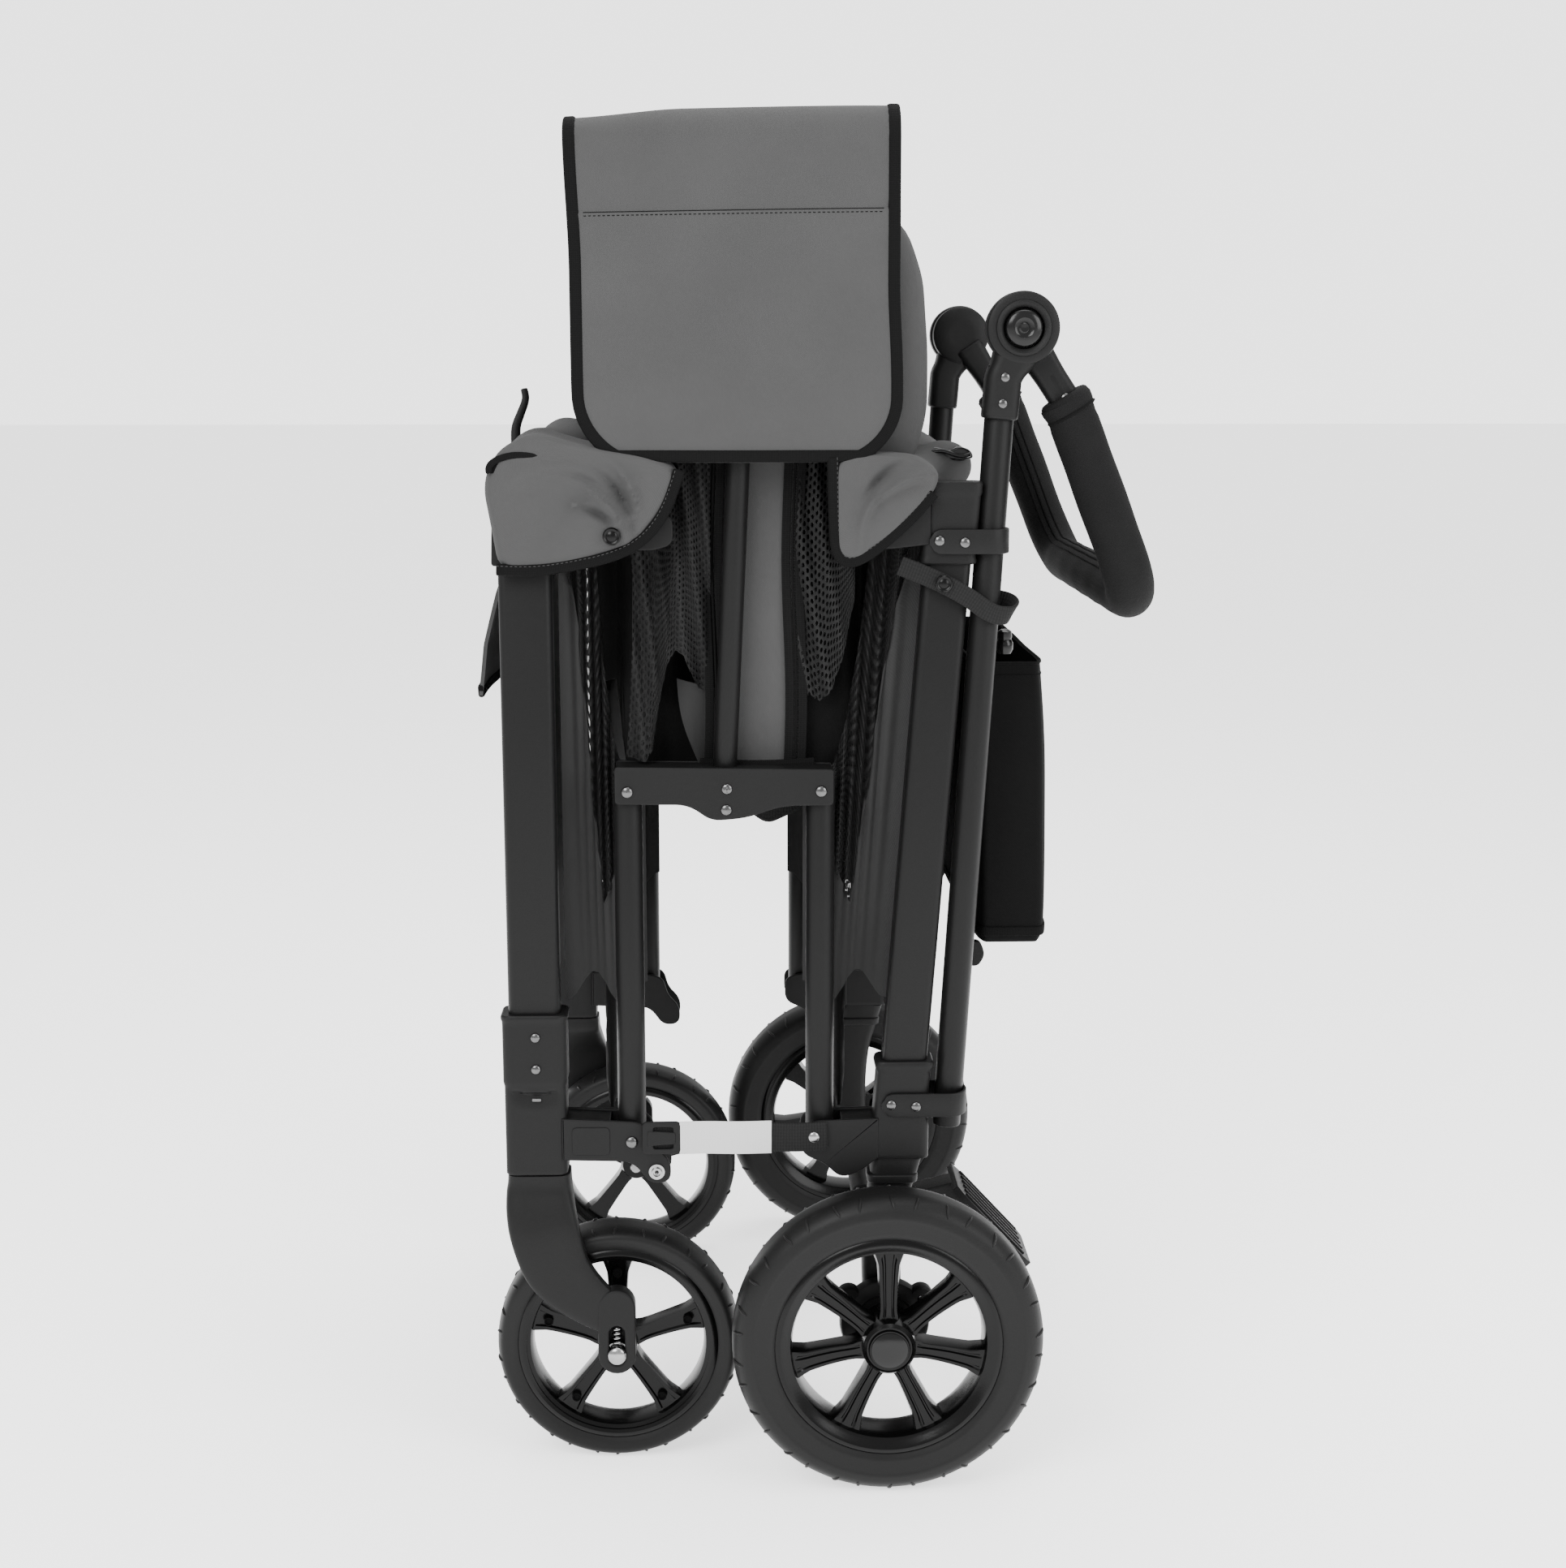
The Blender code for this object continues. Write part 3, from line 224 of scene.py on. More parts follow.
def lattice(points, closeU=False, closeV=False, caps=False):
    # Quads over a grid of points; the UV map holds metres measured along the grid
    points = np.asarray(points, float)
    nu, nv = points.shape[:2]
    i, j = np.meshgrid(np.arange(nu if closeU else nu - 1), np.arange(nv if closeV else nv - 1),
                       indexing="ij")
    i, j = i.ravel(), j.ravel()
    i2, j2 = (i + 1) % nu, (j + 1) % nv
    quads = np.stack([i * nv + j, i2 * nv + j, i2 * nv + j2, i * nv + j2], 1)
    around = np.concatenate([points, points[:1]]) if closeU else points
    along = np.concatenate([points, points[:, :1]], 1) if closeV else points
    u = np.r_[0, np.cumsum(np.linalg.norm(np.diff(around, axis=0), axis=2).mean(1))]
    v = np.r_[0, np.cumsum(np.linalg.norm(np.diff(along, axis=1), axis=2).mean(0))]
    corners = ((i, j), (i + 1, j), (i + 1, j + 1), (i, j + 1))
    uv = np.stack([np.stack([u[a], v[b]], 1) for a, b in corners], 1)
    fans = [np.arange(nv)[::-1], (nu - 1) * nv + np.arange(nv)] if caps else []
    part = shell(points, quads, uv, fans)
    return outward(part) if caps or (closeU and closeV) else part


def sweep(path, section, across=(0, 1, 0), rounding=0.0, closed=False, scale=None):
    # A section carried along a path: centre + a * side + b * up; its ends draw in on a quarter circle
    path, section = np.asarray(path, float), np.asarray(section, float)
    across = np.asarray(across, float)
    if section.ndim == 2:
        section = np.repeat(section[None], len(path), 0)
    if scale is not None:
        section = section * np.asarray(scale, float).reshape(len(path), -1)[:, None, :]
    if rounding:
        turn = np.linspace(0, np.pi / 2, 4)[:-1]
        lift, inset = rounding * (1 - np.cos(turn)), rounding * (1 - np.sin(turn))
        if across.ndim == 2:
            across = np.concatenate([across[:1]] * 3 + [across] + [across[-1:]] * 3)
        extent = np.abs(section).max(1)
        for end in (0, -1):
            inner = unit(path[1] - path[0] if end == 0 else path[-2] - path[-1])
            extra = path[end] + inner * lift[:, None]
            keep = 1 - inset[:, None] / np.maximum(extent[end], 1e-6)
            rings = section[end][None] * np.clip(keep, 0.02, 1)[:, None, :]
            body = path[end] + inner * rounding
            if end == 0:
                path = np.concatenate([extra, body[None], path[1:]])
                section = np.concatenate([rings, section])
            else:
                path = np.concatenate([path[:-1], body[None], extra[::-1]])
                section = np.concatenate([section, rings[::-1]])
    ends = np.roll(path, -1, 0) - np.roll(path, 1, 0) if closed else np.gradient(path, axis=0)
    tangent = unit(ends)
    up = np.broadcast_to(across, path.shape)
    up = unit(up - np.sum(up * tangent, 1)[:, None] * tangent)
    side = np.cross(up, tangent)
    grid = path[:, None] + side[:, None] * section[..., :1] + up[:, None] * section[..., 1:]
    return lattice(grid, closeU=closed, closeV=True, caps=not closed)


def plate(outline, y0, y1, rounding=0.001, hole=None):
    # A side-view outline made solid between two y planes, with quarter rounds on its rims
    turn = np.linspace(0, np.pi / 2, 4)
    lift, inset = rounding * (1 - np.sin(turn)), rounding * (1 - np.cos(turn))
    low, high = min(y0, y1), max(y0, y1)
    inset = np.r_[rounding + 0.0004, inset[::-1], inset, rounding + 0.0004]
    level = np.r_[low, low + lift[::-1], high - lift, high][:, None]
    grid = at(np.stack([offsetLoop(outline, d) for d in inset]), level)
    if hole is None:
        return lattice(grid, closeV=True, caps=True)
    inner = at(np.stack([offsetLoop(hole, -d) for d in inset[::-1]]), level[::-1])
    return lattice(np.concatenate([grid, inner]), closeU=True, closeV=True)


def turned(profile, centre, axis=(0, 1, 0), segments=32, closed=False):
    # A profile of (distance along the axis, radius) turned about the axis
    axis = unit(axis)
    helper = (0.0, 0.0, 1.0) if abs(axis[2]) < 0.9 else (1.0, 0.0, 0.0)
    first = unit(np.cross(helper, axis))
    second = np.cross(axis, first)
    profile = np.asarray(profile, float)
    turn = np.arange(segments) * 2 * np.pi / segments
    rim = np.cos(turn)[:, None] * first + np.sin(turn)[:, None] * second
    grid = np.asarray(centre, float) + profile[:, :1, None] * axis + profile[:, 1:, None] * rim
    return lattice(grid, closeU=closed, closeV=True, caps=not closed)


def domeProfile(radius, height, foot=-0.001, steps=6):  # quarter ellipse on a short skirt
    turn = np.linspace(0.06, np.pi / 2, steps)
    return np.concatenate([circle(turn) * (height, radius), [[foot, radius]]])


def domes(places, axis, radius=0.0038, height=0.0019):  # rivet heads
    return [turned(domeProfile(radius, height), place, axis, 16) for place in places]


def stitches(path, normal, pitch=0.0034, share=0.62, thick=0.00035):
    # Sewing thread: short rounded bars with five sides, in a row along a path on a surface
    path = np.asarray(path, float)
    length = np.linalg.norm(np.diff(path, axis=0), axis=1).sum()
    fine = resample(path, max(2, int(length / pitch)) * 4 + 1)
    a = fine[0:-1:4]
    b = a + (fine[4::4] - a) * share
    along = unit(b - a)
    normal = np.broadcast_to(np.asarray(normal, float), along.shape)
    side = np.cross(along, normal)
    turn = np.arange(5) * 2 * np.pi / 5
    place = np.array([0.0, 0.18, 0.82, 1.0])
    size = np.array([0.35, 1.0, 1.0, 0.35]) * thick
    centre = a[:, None] + (b - a)[:, None] * place[None, :, None]
    grid = (centre[:, :, None] + size[None, :, None, None] *
            (np.cos(turn)[None, None, :, None] * side[:, None, None]
             + 0.8 * np.sin(turn)[None, None, :, None] * normal[:, None, None]))
    first = np.arange(len(a)) * 20
    i, j = np.meshgrid(np.arange(3), np.arange(5), indexing="ij")
    quad = np.stack([i * 5 + j, (i + 1) * 5 + j, (i + 1) * 5 + (j + 1) % 5, i * 5 + (j + 1) % 5], -1)
    quads = (first[:, None, None] + quad.reshape(1, 15, 4)).reshape(-1, 4)
    fans = [k + np.arange(5)[::-1] for k in first] + [k + 15 + np.arange(5) for k in first]
    return outward(shell(grid, quads, np.zeros((len(quads), 4, 2)), fans))


def bag(top, bottom):  # two grids of the same size made one closed bag, with quads along both rims
    rows = np.concatenate([top, bottom[::-1]])
    part = lattice(rows, closeU=True)
    nu, nv = rows.shape[:2]
    a = np.arange(len(top) - 1)
    b = nu - 1 - a
    rims = [np.stack([a * nv + c, (a + 1) * nv + c, (b - 1) * nv + c, b * nv + c], 1) for c in (0, nv - 1)]
    extra = np.concatenate([rims[0], rims[1][:, ::-1]])
    part["quads"] = np.concatenate([part["quads"], extra])
    part["uv"] = np.concatenate([part["uv"], np.zeros((len(extra), 4, 2))])
    return outward(part)


def thicken(grid, depth):  # a sheet's two faces, half its thickness either way along the normals
    normal = unit(np.cross(np.gradient(grid, axis=0), np.gradient(grid, axis=1)))
    return bag(grid + normal * depth / 2, grid - normal * depth / 2)


def joined(parts):
    start, points, quads, uv, fans = 0, [], [], [], []
    for part in parts:
        points.append(part["points"])
        quads.append(part["quads"] + start)
        uv.append(part["uv"])
        fans += [fan + start for fan in part["fans"]]
        start += len(part["points"])
    return shell(np.concatenate(points), np.concatenate(quads), np.concatenate(uv), fans)


def piece(name, parts, material, body, stands=(), sharp=38):
    part = joined(parts if isinstance(parts, list) else [parts])
    mesh = bpy.data.meshes.new(name)
    faces = part["quads"].tolist() + [fan.tolist() for fan in part["fans"]]
    mesh.from_pydata(part["points"].tolist(), [], faces)
    caps = [part["points"][fan][:, [0, 2]] for fan in part["fans"]]
    uv = np.concatenate([part["uv"].reshape(-1, 2)] + caps)
    mesh.uv_layers.new(name="metres").data.foreach_set("uv", uv.astype(np.float32).ravel())
    mesh.shade_smooth()
    mesh.set_sharp_from_angle(angle=math.radians(sharp))
    mesh.materials.append(materials[material])
    thing = bpy.data.objects.new(name, mesh)
    bpy.context.collection.objects.link(thing)
    if body:
        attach(thing, body)
    if stands:
        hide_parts(*stands)
    return thing


materials = {}


def addNode(tree, kind, feed=None, **choices):
    node = tree.nodes.new(kind)
    for key, value in choices.items():
        setattr(node, key, value)
    for key, value in (feed or {}).items():
        if isinstance(value, bpy.types.NodeSocket):
            tree.links.new(value, node.inputs[key])
        else:
            node.inputs[key].default_value = value
    return node


def startFinish(name, roughness, **sockets):  # a new material, its shader and its two coordinates
    material = bpy.data.materials.new(name)
    material.use_nodes = True
    tree = material.node_tree
    shader = tree.nodes["Principled BSDF"]
    shader.inputs["Roughness"].default_value = roughness
    for key, value in sockets.items():
        shader.inputs[key.replace("_", " ")].default_value = value
    place = tree.nodes.new("ShaderNodeTexCoord")
    materials[name] = material
    return tree, shader, place.outputs["Object"], place.outputs["UV"]


def shade(tree, shader, factor, dark, light):  # grey between two values
    ramp = addNode(tree, "ShaderNodeMix", {"Factor": factor}, data_type="RGBA")
    ramp.inputs["A"].default_value = (dark, dark, dark, 1.0)
    ramp.inputs["B"].default_value = (light, light, light, 1.0)
    tree.links.new(ramp.outputs["Result"], shader.inputs["Base Color"])


def roughen(tree, shader, factor, low, high):
    spread = addNode(tree, "ShaderNodeMapRange", {"Value": factor, "To Min": low, "To Max": high})
    tree.links.new(spread.outputs["Result"], shader.inputs["Roughness"])


def relief(tree, shader, height, distance, strength=1.0, under=None):
    feed = {"Height": height, "Distance": distance, "Strength": strength}
    if under is not None:
        feed["Normal"] = under
    node = addNode(tree, "ShaderNodeBump", feed)
    tree.links.new(node.outputs["Normal"], shader.inputs["Normal"])
    return node.outputs["Normal"]


def noise(tree, place, scale, detail=3.0, roughness=0.55):
    return addNode(tree, "ShaderNodeTexNoise", {"Vector": place, "Scale": scale, "Detail": detail,
                                                "Roughness": roughness}).outputs["Fac"]


def maths(tree, operation, first, second=0.0):
    return addNode(tree, "ShaderNodeMath", {0: first, 1: second}, operation=operation).outputs[0]


def weighted(tree, *terms):  # sum of values, each times its weight
    total = None
    for value, weight in terms:
        part = maths(tree, "MULTIPLY", value, weight)
        total = part if total is None else maths(tree, "ADD", total, part)
    return total


def stretched(tree, place, scale):
    return addNode(tree, "ShaderNodeMapping", {"Vector": place, "Scale": scale}).outputs["Vector"]


def wave(tree, place, period, direction):  # sine bands that repeat every period metres
    scale = 2 * math.pi / (20 * period)
    return addNode(tree, "ShaderNodeTexWave", {"Vector": place, "Scale": scale, "Distortion": 0.0},
                   wave_profile="SIN", bands_direction=direction).outputs["Fac"]


def speckled(name, dark, light, roughness, spread, grain, depth, **sockets):
    # Painted or moulded surface: broad mottling in colour and gloss over a fine grain
    tree, shader, place, _ = startFinish(name, roughness, **sockets)
    fine, broad = noise(tree, place, grain, 2.0), noise(tree, place, 14.0, 4.0)
    shade(tree, shader, weighted(tree, (fine, 0.6), (broad, 0.4)), dark, light)
    roughen(tree, shader, broad, roughness - spread, roughness + spread)
    relief(tree, shader, fine, depth)


def twill(name, dark, light, roughness=0.88, period=0.00095, **sockets):
    # Twill cloth: fine diagonal ribs across cross yarns, with slubs, soft fading and slight crumples
    tree, shader, place, uv = startFinish(name, roughness, **sockets)
    ribs = wave(tree, uv, period * 1.414 / 2, "DIAGONAL")
    yarn = wave(tree, uv, period * 0.6, "X")
    streak = noise(tree, stretched(tree, uv, (1.0, 0.16, 1.0)), 900.0, 3.0)
    broad = noise(tree, place, 9.0, 4.0, 0.6)
    shade(tree, shader, weighted(tree, (broad, 0.62), (streak, 0.22), (ribs, 0.16)), dark, light)
    first = relief(tree, shader, noise(tree, place, 34.0, 4.0, 0.6), 0.0011, 0.55)
    relief(tree, shader, weighted(tree, (ribs, 1.0), (yarn, 0.5), (streak, 0.5)), 0.00009, 0.8, first)


def ribbed(name, dark, light, roughness, along, across, depth=0.00018, **sockets):
    # Tape or webbing: ribs across its length crossed by finer yarns along it
    tree, shader, place, uv = startFinish(name, roughness, **sockets)
    first, second = wave(tree, uv, along, "X"), wave(tree, uv, across, "Y")
    check = weighted(tree, (first, 0.5), (second, 0.25), (noise(tree, place, 1300.0, 3.0), 0.35))
    shade(tree, shader, check, dark, light)
    relief(tree, shader, check, depth)


def openMesh(name, dark, light, pitch=0.0046, hole=0.35, **sockets):
    # Spacer mesh: three sets of waves 60 degrees apart peak on a triangular lattice of holes
    tree, shader, place, uv = startFinish(name, 0.8, **sockets)
    rate = 4 * math.pi / (math.sqrt(3) * pitch)
    total = None
    for turn in (0.0, math.pi / 3, 2 * math.pi / 3):
        direction = (rate * math.cos(turn), rate * 0.8 * math.sin(turn), 0.0)
        dot = addNode(tree, "ShaderNodeVectorMath", {0: uv, 1: direction}, operation="DOT_PRODUCT")
        cosine = maths(tree, "COSINE", dot.outputs["Value"])
        total = cosine if total is None else maths(tree, "ADD", total, cosine)
    cover = addNode(tree, "ShaderNodeMapRange", {"Value": total, "From Min": hole, "From Max": hole + 0.5,
                                                 "To Min": 1.0, "To Max": 0.0}).outputs["Result"]
    tree.links.new(cover, shader.inputs["Alpha"])
    shade(tree, shader, weighted(tree, (noise(tree, place, 900.0, 3.0), 0.6), (cover, 0.4)), dark, light)
    relief(tree, shader, maths(tree, "MULTIPLY", total, -0.3), 0.0005)


def foamSkin(name):  # closed-cell foam: small pores over a faint mottling
    tree, shader, place, _ = startFinish(name, 0.85, Specular_IOR_Level=0.15)
    pores = addNode(tree, "ShaderNodeTexVoronoi", {"Vector": place, "Scale": 950.0})
    shade(tree, shader, noise(tree, place, 40.0, 4.0), 0.0028, 0.0060)
    relief(tree, shader, pores.outputs["Distance"], 0.0003)


def plated(name, dark, light):  # plated steel: fine brushed scratches and slight clouding
    tree, shader, place, _ = startFinish(name, 0.2, Metallic=1.0)
    cloud = noise(tree, place, 120.0, 4.0)
    shade(tree, shader, cloud, dark, light)
    roughen(tree, shader, cloud, 0.14, 0.30)
    relief(tree, shader, noise(tree, stretched(tree, place, (1.0, 1.0, 0.05)), 2400.0, 2.0), 0.00003)


def rubber(name):  # tyre rubber: satin skin with faint flow lines and fine pitting
    tree, shader, place, _ = startFinish(name, 0.44, Specular_IOR_Level=0.16)
    pits, broad = noise(tree, place, 700.0, 3.0), noise(tree, place, 22.0, 4.0)
    shade(tree, shader, weighted(tree, (pits, 0.4), (broad, 0.6)), 0.0038, 0.0078)
    roughen(tree, shader, broad, 0.38, 0.54)
    relief(tree, shader, pits, 0.00012)


speckled("powderCoat", 0.0040, 0.0075, 0.40, 0.06, 1500.0, 0.00014, Specular_IOR_Level=0.13)
speckled("sparkPlastic", 0.0042, 0.0082, 0.46, 0.05, 2200.0, 0.00012, Specular_IOR_Level=0.14)
speckled("glossPlastic", 0.0030, 0.0050, 0.18, 0.05, 300.0, 0.00003, Specular_IOR_Level=0.25)
speckled("rimPlastic", 0.0010, 0.0022, 0.22, 0.05, 500.0, 0.00004, Specular_IOR_Level=0.16)
speckled("shadowPlastic", 0.0015, 0.0030, 0.8, 0.05, 900.0, 0.0001, Specular_IOR_Level=0.05)
speckled("thread", 0.012, 0.024, 0.7, 0.1, 2500.0, 0.0001)
rubber("tyreRubber")
twill("greyTwill", 0.029, 0.054, Sheen_Weight=0.03, Specular_IOR_Level=0.25)
# darker copy of the grey twill: painted shade for grey cloth in shadow (valance, lower side fans, zip gusset)
twill("shadeTwill", 0.016, 0.030, Sheen_Weight=0.02, Specular_IOR_Level=0.2)
twill("blackCloth", 0.0020, 0.0050, 0.9, 0.0012, Specular_IOR_Level=0.1)
ribbed("binding", 0.0016, 0.0048, 0.9, 0.0013, 0.0016, Specular_IOR_Level=0.1)
ribbed("blackWebbing", 0.0025, 0.0090, 0.8, 0.0022, 0.0026, 0.0004, Specular_IOR_Level=0.2)
ribbed("zipTape", 0.0014, 0.0052, 0.85, 0.0016, 0.0022, 0.0002, Specular_IOR_Level=0.1)
ribbed("labelCloth", 0.46, 0.58, 0.85, 0.0009, 0.0009, 0.00005)
openMesh("meshCloth", 0.0030, 0.0150, Specular_IOR_Level=0.14)
foamSkin("gripFoam")
plated("platedSteel", 0.22, 0.38)
plated("rivetSteel", 0.07, 0.14)
print("finishes ready:", len(materials))


def straight(start, end, section, rounding=0.001, across=(0, 1, 0)):  # a section swept along a line
    return sweep(np.linspace(start, end, 3), section, across, rounding)


def frameTubes():
    size = frameSizes
    top, corner = postHigh.z, size["postCorner"]
    tube = ring(size["tubeRadius"], 24)
    links = (("rearLink", lowerRear, middleRear, size["linkRadius"], "rear_link", "rear_lower_link"),
             ("frontLink", lowerFront, middleFront, size["linkRadius"], "front_link", "front_lower_link"),
             ("rearRail", upperRear, crownRear, size["railRadius"], "rear_rail", "rear_upper_rail"),
             ("frontRail", upperFront, crownFront, size["railRadius"], "front_rail", "front_upper_rail"))
    for name, side in sides:
        y = side * frameY
        section = roundBox(size["frontPost"], size["postDepth"], corner, 6)
        piece(f"frontPostTube_{name}", straight((casterX, y, sleeveFoot + 0.060), (casterX, y, top), section),
              "powderCoat", "front_frame")
        section = roundBox(size["rearPost"], size["postDepth"], corner, 6)
        z = np.linspace(postLow.z, top, 3)
        piece(f"rearPostTube_{name}", sweep(space(rearPostX(z), y, z), section, rounding=0.001), "powderCoat",
              "rear_frame", [f"rear_post_{name}"])
        z = np.linspace(tubeLow.z, tubeHigh.z + 0.001, 3)
        piece(f"handlePostTube_{name}", sweep(space(handleTubeX(z), y, z), tube, rounding=0.001),
              "powderCoat", "rear_frame", [f"handle_tube_{name}"])
        for label, low, high, radius, body, node in links:
            tail = (high - low) / np.linalg.norm(high - low) * size["linkTail"]
            piece(f"{label}Tube_{name}", straight(at(low - tail, y), at(high + tail, y), ring(radius, 24),
                                                  0.0012),
                  "powderCoat", body, [f"{node}_{name}"])
        rise = (crown - middle) / np.linalg.norm(crown - middle) * 0.004
        piece(f"centrePostTube_{name}", straight(at(middle + rise, y), at(crown + rise, y),
                                                 ring(size["centreRadius"], 24), 0.0012),
              "powderCoat", "centre_frame")
    for name, node, body, radius, reach in (
            ("RearCrossTube", "rear_cross_tube", "rear_frame", size["crossRadius"], bracketIn),
            ("FrontCrossTube", "front_cross_tube", "front_frame", size["crossRadius"], bracketIn),
            ("LinkCrossTube", "link_cross_tube", "rear_link", size["tieRadius"], frameY - 0.009)):
        low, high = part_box(node)
        x, z = (low.x + high.x) / 2, (low.z + high.z) / 2
        piece(name, straight((x, -reach, z), (x, reach, z), ring(radius, 24), 0.0012), "powderCoat", body,
              [node])


frameTubes()
print("frame tubes done")


bracketSizes = {"cheek": 0.0032, "rim": 0.0011, "rivet": 0.0040, "pinRivet": 0.0046, "strap": 0.0024}
rivetHeads = {}  # steel heads gathered for each body


def addRivets(body, places, side, y, radius=None, height=0.0021):
    spots = [at(place, side * y) for place in places]
    heads = domes(spots, (0, side, 0), radius or bracketSizes["rivet"], height)
    rivetHeads.setdefault(body, []).extend(heads)


def cheeks(outline, side, core):  # two side plates of a moulding and the solid core between them
    thick, rim = bracketSizes["cheek"], bracketSizes["rim"]
    return [plate(outline, side * (bracketOut - thick), side * bracketOut, rim),
            plate(outline, side * bracketIn, side * (bracketIn + thick), rim),
            plate(core, side * (bracketIn + thick * 0.7), side * (bracketOut - thick * 0.7), rim)]


def clampStrap(side, z, height):
    # Flat band: out along the bracket's outer face, half round the handle tube and back along the inner face
    x0, x1 = float(rearPostX(z)) - 0.0160, float(handleTubeX(z))
    radius = frameSizes["tubeRadius"] + 0.0022
    yIn, yOut = bracketIn - 0.0008, bracketOut + 0.0012
    turn = np.linspace(np.pi / 2, -np.pi / 2, 13)
    arc = circle(turn) * (radius, (yOut - yIn) / 2) + (x1, (yIn + yOut) / 2)
    run = np.linspace(x0, x1, 14)
    plan = np.concatenate([space(run[:-1], yOut, z)[:, :2], arc, space(run[::-1][1:], yIn, z)[:, :2]])
    path = space(plan[:, 0], side * plan[:, 1], z)
    fromEnd = np.minimum(path[:, 0] - x0, height / 2)
    tall = np.sqrt(np.clip(1 - (1 - fromEnd / (height / 2)) ** 2, 0.06, 1))  # half-round ends
    scale = np.stack([np.ones(len(path)), tall], 1)
    return sweep(path, bar(bracketSizes["strap"], height, 0.0008), (0, 0, 1), 0.0004, scale=scale)


def column(x, z, width, depth, base, ends, side, dent=None):
    # Rounded rectangles stacked up z, as wide and deep as the arrays say; dent sinks the outer face
    section = base[None] * np.stack([width, depth], 1)[:, None]
    section[[0, -1]] *= ends
    y = frameY + section[..., 1]
    if dent:
        y = y - dent(section, z[:, None], depth[:, None])
    return lattice(space(x[:, None] + section[..., 0], side * y, z[:, None]), closeV=True, caps=True)


def levels(low, high, count, foot=0.001):  # heights with a short first and last step
    return np.concatenate([[low], np.linspace(low + foot, high - 0.001, count), [high]])


def scoop(section, z, depth):  # hollow in the outer face under a curved lip
    out = np.clip(section[..., 1] / depth * 2, 0, 1) ** 6
    across = section[..., 0] / 0.020
    below = sleeveTop - 0.0585 - 0.004 * (1 - across ** 2) - z
    hollow = ease(below / 0.0012) * np.clip(1 - below / 0.0135, 0, 1) ** 1.5
    return out * 0.0042 * np.clip(1 - across ** 4, 0, 1) * hollow


def frontSleeve(name, side):  # post socket with a collar, a link fork, two rivets, a slot and a bolt
    z = np.r_[sleeveFoot + 0.0005, np.linspace(sleeveFoot + 0.0015, sleeveTop - 0.001, 64), sleeveTop]
    collar = ease((z - sleeveTop + 0.058) / 0.004)
    lip = bump((z - sleeveTop + 0.0022) / 0.004)
    parts = [column(casterX + 0 * z, z, 0.0478 + 0.0018 * collar + 0.0022 * lip,
                    0.0298 + 0.0012 * collar + 0.0018 * lip, roundBox(1.0, 1.0, 0.16, 5, 8), 0.97, side,
                    scoop)]
    p = lowerFront
    inner = casterX + 0.020 - p[0]
    outline = roundCorners([(inner, 0.0195), (0.004, 0.0165), (0.0145, 0.0120), (0.0190, -0.004),
                            (0.0305, -0.0160), (0.0300, -0.0330), (0.0140, -0.0345), (0.0010, -0.0160),
                            (inner, -0.0145)],
                           [0.001, 0.006, 0.008, 0.006, 0.010, 0.012, 0.010, 0.010, 0.001], centre=p)
    core = roundCorners([(inner, 0.0185), (-0.0165, 0.0165), (-0.0165, -0.0135), (inner, -0.0135)], 0.001,
                        centre=p)
    pad = roundCorners([(inner + 0.008, 0.0125), (-0.017, 0.0125), (-0.017, -0.010), (inner + 0.008, -0.010)],
                       0.004, centre=p)
    parts += cheeks(outline, side, core) + [plate(pad, side * bracketOut, side * (bracketOut + 0.0006),
                                                  0.0004)]
    piece(f"frontSleeveMoulding_{name}", parts, "sparkPlastic", "front_frame", [f"front_sleeve_{name}"])
    face = frameY + 0.0155
    addRivets("front_frame", [(casterX + 0.001, sleeveTop - 0.0175), (casterX + 0.001, sleeveTop - 0.0430)],
              side, face + 0.0002)
    addRivets("front_frame", [p], side, bracketOut, 0.0050, 0.0026)
    slot = roundCorners([(-0.0025, 0.0610), (0.0045, 0.0610), (0.0045, 0.0635), (-0.0025, 0.0635)], 0.001,
                        centre=(casterX, sleeveFoot))
    rivetHeads["front_frame"].append(plate(slot, side * (face - 0.001), side * (face + 0.0001), 0.0003))
    bolt = turned([(0.0044, 0.0003), (0.0020, 0.0016), (0.0022, 0.0026), (0.0047, 0.0028), (0.0046, 0.0040),
                   (0.0016, 0.0044), (0.0014, 0.0062), (-0.001, 0.0064)],
                  at(p + (0.0193, -0.0240), side * bracketOut), (0, side, 0), 24)
    piece(f"sleeveBolt_{name}", bolt, "platedSteel", "front_frame")


def crossScrew(body, place, side, y, radius=0.0042):  # pan head with a crossed bar on its crown
    parts = [turned(domeProfile(radius, 0.0019), at(place, side * y), (0, side, 0), 20)]
    for dx, dz in ((0.0026, 0.0006), (0.0006, 0.0026)):
        arm = roundCorners([(-dx, -dz), (dx, -dz), (dx, dz), (-dx, dz)], 0.0003, 2, centre=place)
        parts.append(plate(arm, side * (y + 0.0012), side * (y + 0.0021), 0.0002))
    rivetHeads.setdefault(body, []).extend(parts)


